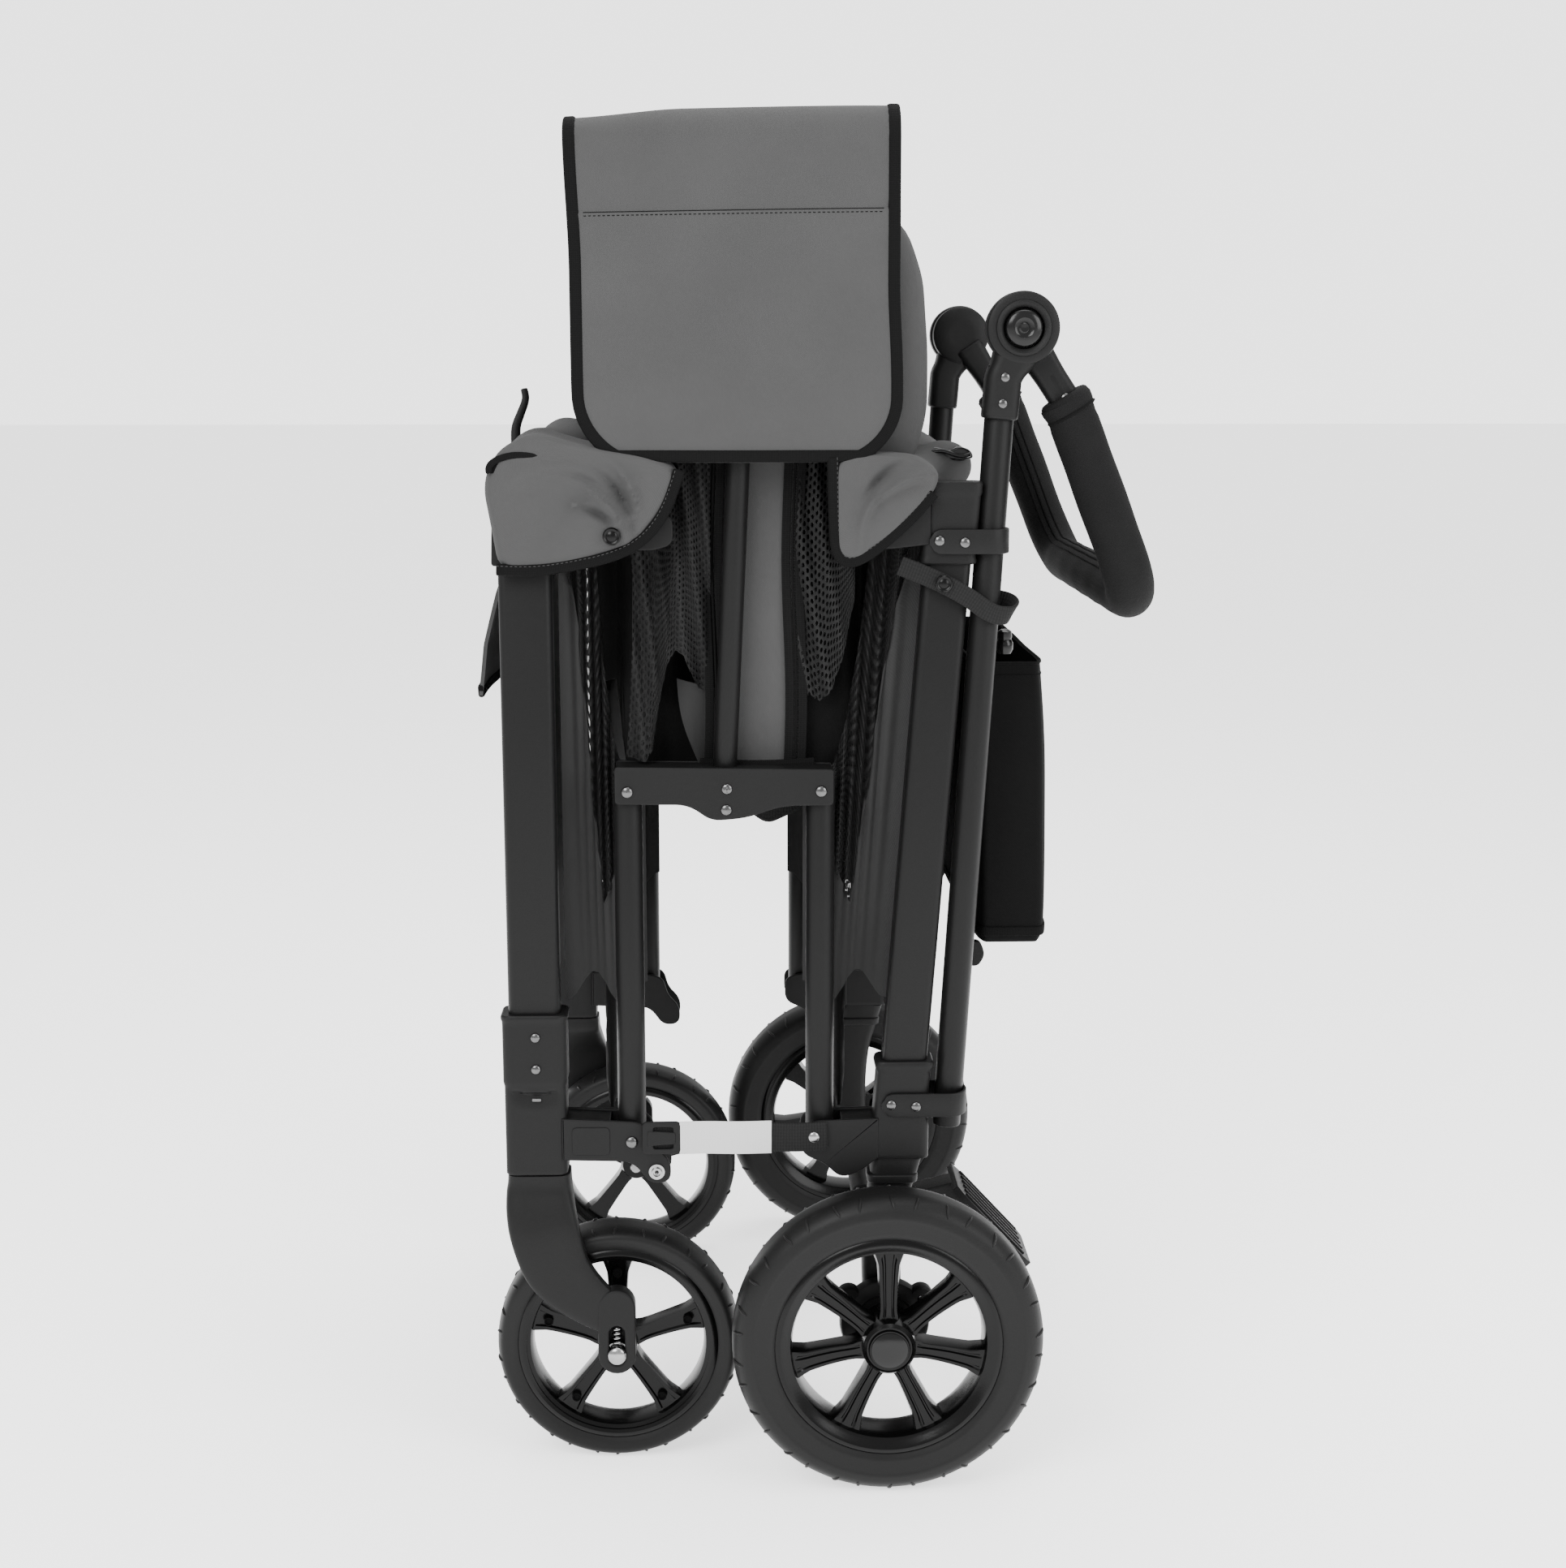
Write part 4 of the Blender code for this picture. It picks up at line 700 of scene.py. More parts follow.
def rearLowerBracket(name, side):  # post socket with a flared lip, link fork, handle tube clamp and wheel leg
    p, y, top = lowerRear, side * frameY, 0.332
    postX = float(rearPostX(p[1]))
    z = levels(p[1] - 0.0160, top, 30)
    lip = ease((z - top + 0.009) / 0.004) * (1 - 0.5 * ease((z - top + 0.002) / 0.002))
    swell = ease((p[1] + 0.020 - z) / 0.01)
    parts = [column(rearPostX(np.maximum(z, postLow.z)), z, 0.0415 + 0.0045 * lip + 0.0035 * swell,
                    0.0292 + 0.0022 * lip + 0.0010 * swell, roundBox(1.0, 1.0, 0.17, 5, 3), 0.97, side)]
    inner = postX - 0.016 - p[0]
    outline = roundCorners([(inner, 0.0175), (-0.004, 0.0160), (-0.0145, 0.0110), (-0.0150, -0.0110),
                            (0.003, -0.0185), (0.016, -0.0310), (0.030, -0.0270), (inner, -0.0150)],
                           [0.001, 0.006, 0.009, 0.009, 0.006, 0.010, 0.010, 0.001], centre=p)
    core = roundCorners([(inner + 0.002, 0.0165), (0.0165, 0.0150), (0.0165, -0.0140),
                         (inner + 0.002, -0.0140)], 0.001, centre=p)
    parts += cheeks(outline, side, core)
    t = np.linspace(0, 1, 12)
    legX = postX * (1 - t) + rearAxle[0] * t - 0.006 * np.sin(np.pi * t)
    legZ = (p[1] - 0.014) * (1 - t) + (rearAxle[1] + 0.004) * t
    wide = np.stack([1.12 - 0.22 * ease(t * 2.5), np.ones(12)], 1)
    parts.append(sweep(space(legX, y, legZ), roundBox(0.034, 0.025, 0.007), rounding=0.001, scale=wide))
    collarZ, half = p[1] - 0.0335, 0.0035
    collarX = float(np.interp(-collarZ, -legZ, legX))
    parts.append(straight((collarX, y, collarZ - half), (collarX, y, collarZ + half),
                          roundBox(0.0400, 0.0285, 0.008), 0.0012))
    parts.append(turned([(-0.0145, 0.0105), (-0.0145, 0.0185), (-0.0135, 0.0195), (0.0135, 0.0195),
                         (0.0145, 0.0185), (0.0145, 0.0105)], at(rearAxle, y), segments=36, closed=True))
    clampZ = p[1] + 0.0285
    parts.append(clampStrap(side, clampZ, 0.0190))
    piece(f"rearLowerMoulding_{name}", parts, "sparkPlastic", "rear_frame", [f"rear_lower_bracket_{name}"])
    x = float(rearPostX(clampZ))
    addRivets("rear_frame", [(x - 0.0085, clampZ + 0.0008), (x + 0.0110, clampZ - 0.0008)], side,
              bracketOut + bracketSizes["strap"], 0.0041)
    if side > 0:  # the strap's own rivet stands here on the other side
        addRivets("rear_frame", [p], side, bracketOut, bracketSizes["pinRivet"], 0.0024)


def rearTopBracket(name, side):  # cap over the post top, a fork for the roof rail and a handle tube clamp
    p = upperRear
    bottom, top = p[1] - 0.0255, postHigh.z + 0.004
    z = levels(bottom, top, 26)
    lip = bump((z - bottom - 0.002) / 0.0035)
    crest = ease((z - top + 0.010) / 0.002)
    parts = [column(rearPostX(z), z, 0.0405 + 0.002 * lip + 0.0015 * crest,
                    0.0296 + 0.0016 * lip + 0.001 * crest, roundBox(1.0, 1.0, 0.17, 5, 3), 0.965, side)]
    inner = float(rearPostX(p[1])) - 0.014 - p[0]
    outline = roundCorners([(inner, 0.0205), (0.030, 0.0150), (0, 0.0145), (-0.0145, 0.0105),
                            (-0.0145, -0.0105), (0, -0.0145), (0.030, -0.0140), (inner, -0.0105)],
                           [0.001, 0.01, 0.004, 0.010, 0.010, 0.004, 0.01, 0.001], centre=p)
    core = roundCorners([(inner + 0.002, 0.0180), (0.0155, 0.0135), (0.0155, -0.0125),
                         (inner + 0.002, -0.0095)],
                        0.001, centre=p)
    clampZ = p[1] - 0.0085
    parts += cheeks(outline, side, core) + [clampStrap(side, clampZ, 0.0185)]
    piece(f"rearTopMoulding_{name}", parts, "sparkPlastic", "rear_frame", [f"rear_top_bracket_{name}"])
    x = float(rearPostX(clampZ))
    addRivets("rear_frame", [(x - 0.0085, clampZ + 0.0008), (x + 0.0105, clampZ - 0.0006)], side,
              bracketOut + bracketSizes["strap"], 0.0041)


def frontTopBracket(name, side):
    p = upperFront
    low, top, mid = -0.026, postHigh.z + 0.004 - p[1], casterX - p[0]
    outline = roundCorners([(mid - 0.024, low), (mid + 0.024, low), (-0.03, -0.0145), (0, -0.0145),
                            (0.0145, -0.0105), (0.0145, 0.0105), (0, 0.0145), (-0.03, 0.0150),
                            (mid + 0.022, top), (mid - 0.022, top)],
                           [0.003, 0.003, 0.01, 0.004, 0.01, 0.01, 0.004, 0.01, 0.004, 0.006], centre=p)
    core = roundCorners([(mid - 0.0235, low + 0.001), (mid + 0.0235, low + 0.001), (-0.0155, -0.0125),
                         (-0.0155, 0.0135), (mid + 0.0215, top - 0.0005), (mid - 0.0215, top - 0.0005)],
                         0.002,
                        centre=p)
    piece(f"frontTopMoulding_{name}", cheeks(outline, side, core), "sparkPlastic", "front_frame",
          [f"front_post_{name}"])


def centreBrackets(name, side):  # bent channel across the link tops, and the fork plate at the crown
    out, thin = bracketOut, 0.0024
    outline = roundCorners([(-0.0830, 0.0195), (0.0830, 0.0170), (0.0830, -0.0110), (0.0440, -0.0110),
                            (0.0170, -0.0205), (-0.0100, -0.0225), (-0.0270, -0.0100), (-0.0830, -0.0095)],
                           [0.003, 0.003, 0.004, 0.012, 0.012, 0.008, 0.012, 0.004], centre=middle)
    web = roundCorners([(-0.0820, 0.0188), (0.0820, 0.0163), (0.0820, 0.0140), (-0.0820, 0.0165)], 0.0005,
                       centre=middle)
    parts = [plate(outline, side * (out - thin), side * out, 0.0008),
             plate(outline, side * bracketIn, side * (bracketIn + thin), 0.0008),
             plate(web, side * (bracketIn + 0.001), side * (out - 0.001), 0.0005)]
    piece(f"centreChannel_{name}", parts, "sparkPlastic", "centre_frame", [f"centre_lower_bracket_{name}"])
    addRivets("centre_frame", [middleFront, middleRear], side, out, bracketSizes["pinRivet"], 0.0024)
    addRivets("centre_frame", [middle + (0.0015, -0.0140)], side, out, 0.0044)
    crossScrew("centre_frame", middle + (0.002, 0.0022), side, out)
    low, high = crownFront[0] - crown[0], crownRear[0] - crown[0]
    outline = roundCorners([(low - 0.0145, -0.0145), (high + 0.0145, -0.0145), (high + 0.0145, 0.0145),
                            (low - 0.0145, 0.0145)], 0.012, centre=crown)
    core = roundCorners([(low + 0.0155, -0.0135), (high - 0.0155, -0.0135), (high - 0.0155, 0.0135),
                         (low + 0.0155, 0.0135)], 0.001, centre=crown)
    piece(f"crownPlate_{name}", cheeks(outline, side, core), "sparkPlastic", "centre_frame",
          [f"centre_post_{name}"])
    addRivets("centre_frame", [crownFront, crownRear], side, out, bracketSizes["pinRivet"])


for sideName, sideSign in sides:
    for bracket in (frontSleeve, rearLowerBracket, rearTopBracket, frontTopBracket, centreBrackets):
        bracket(sideName, sideSign)
print("brackets done")


forkSizes = {"bossHalf": 0.0147, "bossLow": -0.0155, "bossHigh": 0.0545, "outer": 0.0375, "slotHalf": 0.0062,
             "coils": 5, "coilRadius": 0.0034, "wire": 0.0007}


def casterFork(name, side):
    # One-armed leg: a squared-off oval section that swings back and outboard, ending in an axle boss
    ax, az = frontAxle
    keys = np.array([  # x, z, half width, centre y, half depth
        (0.0012, 0.000, 0.0244, 0.0000, 0.0152), (0.0012, -0.010, 0.0250, 0.0000, 0.0154),
        (0.0008, -0.014, 0.0258, 0.0016, 0.0152), (0.0018, -0.028, 0.0270, 0.0100, 0.0126),
        (0.0050, -0.044, 0.0274, 0.0184, 0.0082), (0.0130, -0.072, 0.0262, 0.0206, 0.0068),
        (0.0240, -0.087, 0.0235, 0.0205, 0.0070), (0.0370, -0.099, 0.0200, 0.0207, 0.0066),
        (0.0500, -0.109, 0.0172, 0.0207, 0.0062), (0.0590, -0.115, 0.0150, 0.0207, 0.0055)])
    keys = smoothPath(keys + (casterX, sleeveFoot - 0.0006, 0, frameY, 0), 34, 2)
    across = np.cross(unit(np.gradient(at(keys[:, :2], 0), axis=0)), (0, 1, 0))
    turn = circle((np.arange(36) + 0.5) * 2 * np.pi / 36)
    a, b = (np.sign(turn) * np.abs(turn) ** 0.42).T
    grid = (at(keys[:, :2], keys[:, 3])[:, None] + across[:, None] * (keys[:, 2, None] * a)[..., None]
            + np.array([0.0, 1.0, 0.0]) * (keys[:, 4, None] * b)[..., None])
    grid[..., 1] *= side
    half, low, high = forkSizes["bossHalf"], az + forkSizes["bossLow"], az + forkSizes["bossHigh"]
    outer = frontWheelY + forkSizes["outer"]

    def stadium(radius, z0, z1):  # two half circles joined by straight sides
        arc = radius * circle(np.linspace(0, np.pi, 13))
        return np.concatenate([(ax, z1) + arc, (ax, z0) - arc])

    slot = stadium(forkSizes["slotHalf"], az - 0.002, az + 0.0185)
    parts = [lattice(grid, closeV=True, caps=True),
             plate(stadium(half, low + half, high - half), side * (frontWheelY + 0.0235), side * outer,
                   0.0016, slot),
             plate(stadium(half - 0.001, low + half, high - half), side * (frontWheelY + 0.0233),
                   side * (frontWheelY + 0.0262), 0.0006)]
    piece(f"casterLeg_{name}", parts, "sparkPlastic", f"caster_{name}", [f"caster_fork_{name}"], 45)
    coil = np.linspace(0, 1, 150)
    helix = forkSizes["coilRadius"] * circle(coil * 2 * np.pi * forkSizes["coils"])
    spring = space(ax + helix[:, 0], side * (outer - 0.0055) + helix[:, 1], az + 0.0035 + 0.0185 * coil)
    parts = [sweep(spring, ring(forkSizes["wire"], 6), (0, 0, 1)),
             turned(domeProfile(0.0076, 0.0036, -0.0025), (ax, side * (outer + 0.0004), az), (0, side, 0),
                    28),
             turned([(0.0, 0.0005), (0.0, 0.0095), (-0.0016, 0.0098), (-0.0022, 0.0050), (-0.040, 0.0050),
                     (-0.040, 0.0004)], (ax, side * (outer - 0.0045), az), (0, side, 0), 24),
             turned([(0.0, 0.0005), (0.0, 0.0055), (0.0035, 0.0055), (0.0045, 0.0045), (0.0045, 0.0004)],
                    (ax, side * (frontWheelY - 0.0225), az), (0, -side, 0), 24)]
    piece(f"frontAxleBolt_{name}", parts, "platedSteel", f"suspension_{name}", [f"front_axle_{name}"])


wheelSizes = {
    "rear": {"radius": 0.121, "half": 0.023, "bead": 0.089, "open": 0.0750, "hub": 0.0205, "cap": 0.0150,
             "spokes": 7, "spokeHub": 0.0068, "spokeRim": 0.0105, "ticks": 34, "dish": 0.006,
             "across": [-1, -0.86, -0.74, -0.56, -0.46, -0.34, -0.26, 0.26, 0.34, 0.46, 0.56, 0.74, 0.86, 1],
             "rise": [-4.5, 0.2, 0.6, 0.6, -0.9, -0.9, 0.9, 0.9, -0.9, -0.9, 0.6, 0.6, 0.2, -4.5]},
    "front": {"radius": 0.0965, "half": 0.020, "bead": 0.0805, "open": 0.0690, "hub": 0.0150, "cap": 0.0100,
              "spokes": 5, "spokeHub": 0.0065, "spokeRim": 0.0100, "ticks": 30, "dish": 0.004,
              "across": [-1, -0.92, -0.70, -0.60, -0.5, -0.2, 0.2, 0.5, 0.60, 0.70, 0.92, 1],
              "rise": [-3.5, 0.6, 0.9, 0.9, -1.2, -1.2, -1.2, -1.2, 0.9, 0.9, 0.6, -3.5]}}


def shoulder(size, turn):  # quarter ellipse from the sidewall's ridge up to the crown: (across, radius)
    ridge = size["bead"] + (size["radius"] - size["bead"]) * 0.52
    wide, foot = size["half"], ridge + 0.0016
    return np.stack([wide * 0.20 + wide * 0.775 * np.cos(turn),
                     foot + (size["radius"] - foot) * np.sin(turn)], 1)


def tyreProfile(size):  # half section from bead to crown, then mirrored
    w, bead = size["half"], size["bead"]
    ridge = bead + (size["radius"] - bead) * 0.52
    half = np.array([(w * 0.80, bead - 0.003), (w * 0.86, bead + 0.0004), (w * 0.93, bead + 0.0022),
                     (w * 0.955, bead + 0.0045), (w * 0.97, ridge - 0.003), (w * 0.99, ridge - 0.0008),
                     (w, ridge), (w * 0.985, ridge + 0.0016)])
    half = np.concatenate([half, shoulder(size, np.linspace(0.12, 1.0, 10) * np.pi / 2)])
    return np.concatenate([half, half[::-1] * (-1, 1)])


def tyreTicks(size, centre, y):  # short raised bars in slanted pairs, following the shoulder's curve
    step = 2 * np.pi / size["ticks"]
    away, high = shoulder(size, np.linspace(0.30, 0.80, 5) * np.pi / 2).T + 0.0001
    fade = np.array([0.3, 1, 1, 1, 0.3])[:, None]
    parts = []
    for face in (-1, 1):
        for k in range(size["ticks"]):
            way = 1 if k % 2 else -1
            angle = k // 2 * 2 * step + way * (0.42 * step + np.linspace(-0.010, 0.014, 5))
            path = at(centre + high[:, None] * circle(angle), y + face * away)
            parts.append(sweep(path, roundBox(0.0024, 0.0018, 0.0006, 1), (0, face, 0.01), scale=fade))
    return parts


def spokeParts(size, centre, y, side):  # bars from hub to rim; across and rise give the ribbed section
    parts = []
    t = np.linspace(0, 1, 14)
    reach = size["hub"] - 0.003 + t * (size["open"] + 0.003 - size["hub"] + 0.003)
    half = size["spokeHub"] + (size["spokeRim"] - size["spokeHub"]) * t ** 1.5
    half = half + 0.003 * bump((1 - t) / 0.25) + 0.002 * bump(t / 0.2)
    front = size["half"] - 0.0075 - size["dish"] * bump((t - 0.5) / 0.8)
    across, rise = np.array(size["across"]), np.array(size["rise"]) * 0.001
    flat = ease((t - 0.02) / 0.15) * ease((0.97 - t) / 0.12)
    level = front[:, None] + rise[None] * np.where(rise[None] < -0.002, 1, flat[:, None])
    wide, out = half[:, None] * across[None], np.array([0, side, 0])
    for k in range(size["spokes"]):
        angle = np.pi / 2 + 2 * np.pi * k / size["spokes"]
        along, square = at(circle(angle), 0), at(circle(angle + np.pi / 2), 0)
        top = reach[:, None, None] * along + wide[..., None] * square + level[..., None] * out
        low = reach[:, None, None] * along + wide[:, ::-1, None] * square * 0.86 - 0.0065 * out
        parts.append(lattice(np.concatenate([top, low], 1) + at(centre, y), closeV=True, caps=True))
    return parts


def wheel(kind, name, side, centre, y, body):
    size = wheelSizes[kind]
    place = at(centre, side * y)
    w, bead, gap, h, c = (size[key] for key in ("half", "bead", "open", "hub", "cap"))
    tyre = turned(tyreProfile(size), place, segments=112, closed=True)
    piece(f"{kind}Tyre_{name}", [tyre] + tyreTicks(size, centre, side * y), "tyreRubber", body,
          [f"{kind}_tyre_{name}"])
    edge = w * 0.84
    barrel = np.array([(edge, bead - 0.0006), (edge + 0.0012, bead - 0.0022), (edge + 0.0016, bead - 0.0050),
                       (edge + 0.0004, bead - 0.0075), (edge - 0.0016, gap + 0.0040),
                       (edge - 0.0030, gap + 0.0012), (edge - 0.0060, gap), (edge - 0.012, gap - 0.0008)])
    barrel = np.concatenate([barrel, barrel[::-1] * (-1, 1)])
    core = [(w + 0.0002, c * 0.30), (w + 0.0008, c + 0.0004), (w - 0.0012, c + 0.0012),
            (w - 0.0012, c + 0.0026),
            (w + 0.0002, c + 0.0034), (w - 0.0004, h - 0.0016), (w - 0.0024, h), (w - 0.009, h + 0.0006),
            (-w + 0.006, h + 0.0002), (-w + 0.001, h - 0.002), (-w + 0.001, c * 0.6)]
    cap = [(w + 0.0036, 0.0003), (w + 0.0034, c * 0.35), (w + 0.0028, c * 0.7), (w + 0.0014, c * 0.94),
           (w - 0.0004, c), (w - 0.004, c)]
    parts = [turned(barrel, place, segments=96, closed=True),
             turned(np.array(core) * (side, 1), place, segments=64)] + spokeParts(size, centre, side * y,
                                                                                  side)
    piece(f"{kind}Rim_{name}", parts, "rimPlastic", body, [f"{kind}_rim_{name}"], 32)
    piece(f"{kind}HubCap_{name}", turned(np.array(cap) * (side, 1), place, segments=48), "glossPlastic", body)


def spokeHoles(name, side):  # small collared holes near the outer ends of the front spokes
    size, r = wheelSizes["front"], 0.0026
    reach = size["hub"] + (size["open"] - size["hub"]) * 0.80
    angle = np.pi / 2 + 2 * np.pi * np.arange(size["spokes"]) / size["spokes"]
    places = at(frontAxle + reach * circle(angle), side * (frontWheelY + size["half"] - 0.0105))
    collar = [(0.0018, 0.0002), (0.0018, r), (0.0030, r + 0.0002), (0.0030, r + 0.0010), (-0.001, r + 0.0010)]
    piece(f"frontSpokeHoles_{name}", [turned(collar, place, (0, side, 0), 18) for place in places],
          "shadowPlastic", f"front_wheel_{name}")


def brakeDrum(name, side):  # drum behind the rear wheel with two lobes, each with a bolt
    low, high = bracketOut + 0.0003, rearWheelY - wheelSizes["rear"]["half"] - 0.0006
    deep, face = high - low, (0, side, 0)
    parts = [turned([(0.0, 0.006), (0.0, 0.0350), (deep * 0.4, 0.0358), (deep * 0.8, 0.0345), (deep, 0.0310),
                     (deep, 0.0240), (deep - 0.0015, 0.0230), (deep - 0.0015, 0.006)],
                    at(rearAxle, side * low), face, 64)]
    lobes = rearAxle + 0.035 * circle(np.array([0.62, 2.52]))
    parts += [turned([(0.0, 0.0004), (0.0, 0.0095), (deep * 0.7, 0.0100), (deep * 0.95, 0.0085),
                      (deep * 0.95, 0.0004)], at(lobe, side * low), face, 24) for lobe in lobes]
    piece(f"brakeDrum_{name}", parts, "sparkPlastic", "rear_frame")
    addRivets("rear_frame", lobes, side, low + deep * 0.95, 0.0032, 0.0012)


pedalSizes = {"half": 0.036, "kneeX": 0.083, "kneeZ": 0.019, "tipX": 0.141, "tipZ": -0.044, "ribs": 6}


def axleAndPedal():  # shaft and its two sleeves; pedal arm, board and raised ribs
    reach, size = rearWheelY + 0.020, pedalSizes
    piece("rearAxleShaft", straight(at(rearAxle, -reach), at(rearAxle, reach), ring(0.0058, 24),
                                    across=(0, 0, 1)), "platedSteel", "rear_frame", ["rear_axle"])
    sleeves = [sweep(at([rearAxle] * 3, s * np.array([0.0370, 0.1, bracketIn - 0.0005])), ring(0.0100, 28),
                     (0, 0, 1), 0.0008) for s in (-1, 1)]
    piece("rearAxleSleeve", sleeves, "powderCoat", "rear_frame")
    knee, tip = rearAxle + (size["kneeX"], size["kneeZ"]), rearAxle + (size["tipX"], size["tipZ"])
    down = (tip - knee) / np.linalg.norm(tip - knee)
    up = np.array([-down[1], down[0]])
    arm = roundCorners([rearAxle + (-0.015, 0.004), rearAxle + (-0.004, 0.0155), rearAxle + (0.012, 0.013),
                        knee + up * 0.006 - down * 0.010, knee + up * 0.0065 + down * 0.004,
                        tip + up * 0.0055 - down * 0.004, tip + up * 0.001, tip - up * 0.004 - down * 0.003,
                        knee - up * 0.005, rearAxle + (0.010, -0.012), rearAxle + (-0.008, -0.0145)],
                       [0.007, 0.007, 0.01, 0.012, 0.008, 0.004, 0.003, 0.003, 0.012, 0.01, 0.008])
    t = np.linspace(-0.012, np.linalg.norm(tip - knee), 16)
    share = (t - t[0]) / (t[-1] - t[0])
    half = size["half"] * (0.80 + 0.20 * np.sqrt(np.clip(share * 3, 0, 1)))
    half = half * np.sqrt(np.clip(1 - np.clip(share - 0.86, 0, 1) ** 2 * 14, 0.3, 1))  # rounded tip
    board = bar(0.0062, 2.0, 0.002)
    edge = board[:, 1]
    board[:, 1] = np.where(np.abs(edge) > 0.999, np.sign(edge), edge)  # square ends across
    parts = [plate(arm, -0.0130, 0.0130, 0.0018),
             sweep(at(knee + down * t[:, None] + up * 0.0035, 0), board, rounding=0.0012,
                   scale=np.stack([np.ones(16), half], 1))]
    for y in size["half"] * np.linspace(-0.76, 0.76, size["ribs"]):
        parts.append(straight(at(knee + up * 0.0072 - down * 0.001, y),
                              at(tip + up * 0.0072 - down * 0.010, y), bar(0.0022, 0.0034, 0.0008), 0.0008))
    piece("brakePedalPlate", parts, "sparkPlastic", "brake", ["brake_pedal"])


for sideName, sideSign in sides:
    casterFork(sideName, sideSign)
    wheel("rear", sideName, sideSign, rearAxle, rearWheelY, f"rear_wheel_{sideName}")
    wheel("front", sideName, sideSign, frontAxle, frontWheelY, f"front_wheel_{sideName}")
    spokeHoles(sideName, sideSign)
    brakeDrum(sideName, sideSign)
axleAndPedal()
print("casters and wheels done")


handleSizes = {"arm": 0.066, "armTurn": math.radians(34.0), "grip": 0.158, "gripTurn": math.radians(21.4),
               "corner": 0.045, "barY": 0.200, "gripRadius": 0.0188, "barRadius": 0.0098, "hubRadius": 0.0268}


def handleWay(turn):  # direction in the side view at an angle from straight down
    return np.array([math.sin(turn), -math.cos(turn)])


def handleLine(start, count=90):
    # The handle's U: down one arm, down the grip, a quarter turn, across the bar and back up
    s = handleSizes
    armWay, gripWay = handleWay(s["armTurn"]), handleWay(s["gripTurn"])
    knee = hub + armWay * s["arm"]
    bend = knee + gripWay * (s["grip"] - s["corner"])
    turn = np.linspace(0, np.pi / 2, 12)
    curve = arch(knee - armWay * 0.006, knee, knee + gripWay * 0.020, np.linspace(0, 1, 7)[:, None])
    corner = bend + gripWay * (s["corner"] * np.sin(turn))[:, None]
    half = np.concatenate([at(hub + armWay * s["arm"] * start, -s["barY"])[None], at(curve, -s["barY"]),
                           at(corner, -s["barY"] + s["corner"] * (1 - np.cos(turn)))])
    return resample(np.concatenate([half, half[::-1] * (1, -1, 1)]), count)


def handleBar():  # tube inside a foam grip with rolled cuffs, seams and end rings
    s = handleSizes
    normal = np.array([math.cos(s["gripTurn"]), 0, math.sin(s["gripTurn"])])
    piece("handleInnerBar", sweep(handleLine(0.62), ring(s["barRadius"]), normal, 0.001), "powderCoat",
          "handle", ["handle_bar"])
    path = handleLine(0.90, 150)
    run = np.r_[0, np.cumsum(np.linalg.norm(np.diff(path, axis=0), axis=1))]
    end = np.minimum(run, run[-1] - run)
    swell = 1.0 + 0.075 * np.exp(-((end - 0.006) / 0.006) ** 2)
    swell = swell - 0.05 * np.exp(-((end - 0.0165) / 0.003) ** 2)
    swell = swell + 0.012 * np.sin(run * 95) * ease((end - 0.03) / 0.02)
    piece("handleGripFoam", sweep(path, ring(s["gripRadius"], 32), normal, 0.0035, scale=swell[:, None]),
          "gripFoam", "handle", ["handle_grip"])
    inwardWay = np.cross(normal, unit(np.gradient(path, axis=0)))
    seams = []
    for tilt in (-0.30, 0.0, 0.30):
        way = inwardWay * math.cos(tilt) + normal * math.sin(tilt)
        line = path + way * (s["gripRadius"] * swell[:, None] + 0.0001)
        seams.append(sweep(line[end > 0.018], ring(0.0009 if tilt else 0.0014, 6), normal, 0.0003))
    for first, second in (path[:2], path[-1:-3:-1]):
        seams.append(turned([(0.0125, 0.0186), (0.0132, 0.0198), (0.0142, 0.0199), (0.0150, 0.0186)],
                            first, second - first, 40, closed=True))
    piece("handleGripSeams", seams, "blackCloth", "handle")


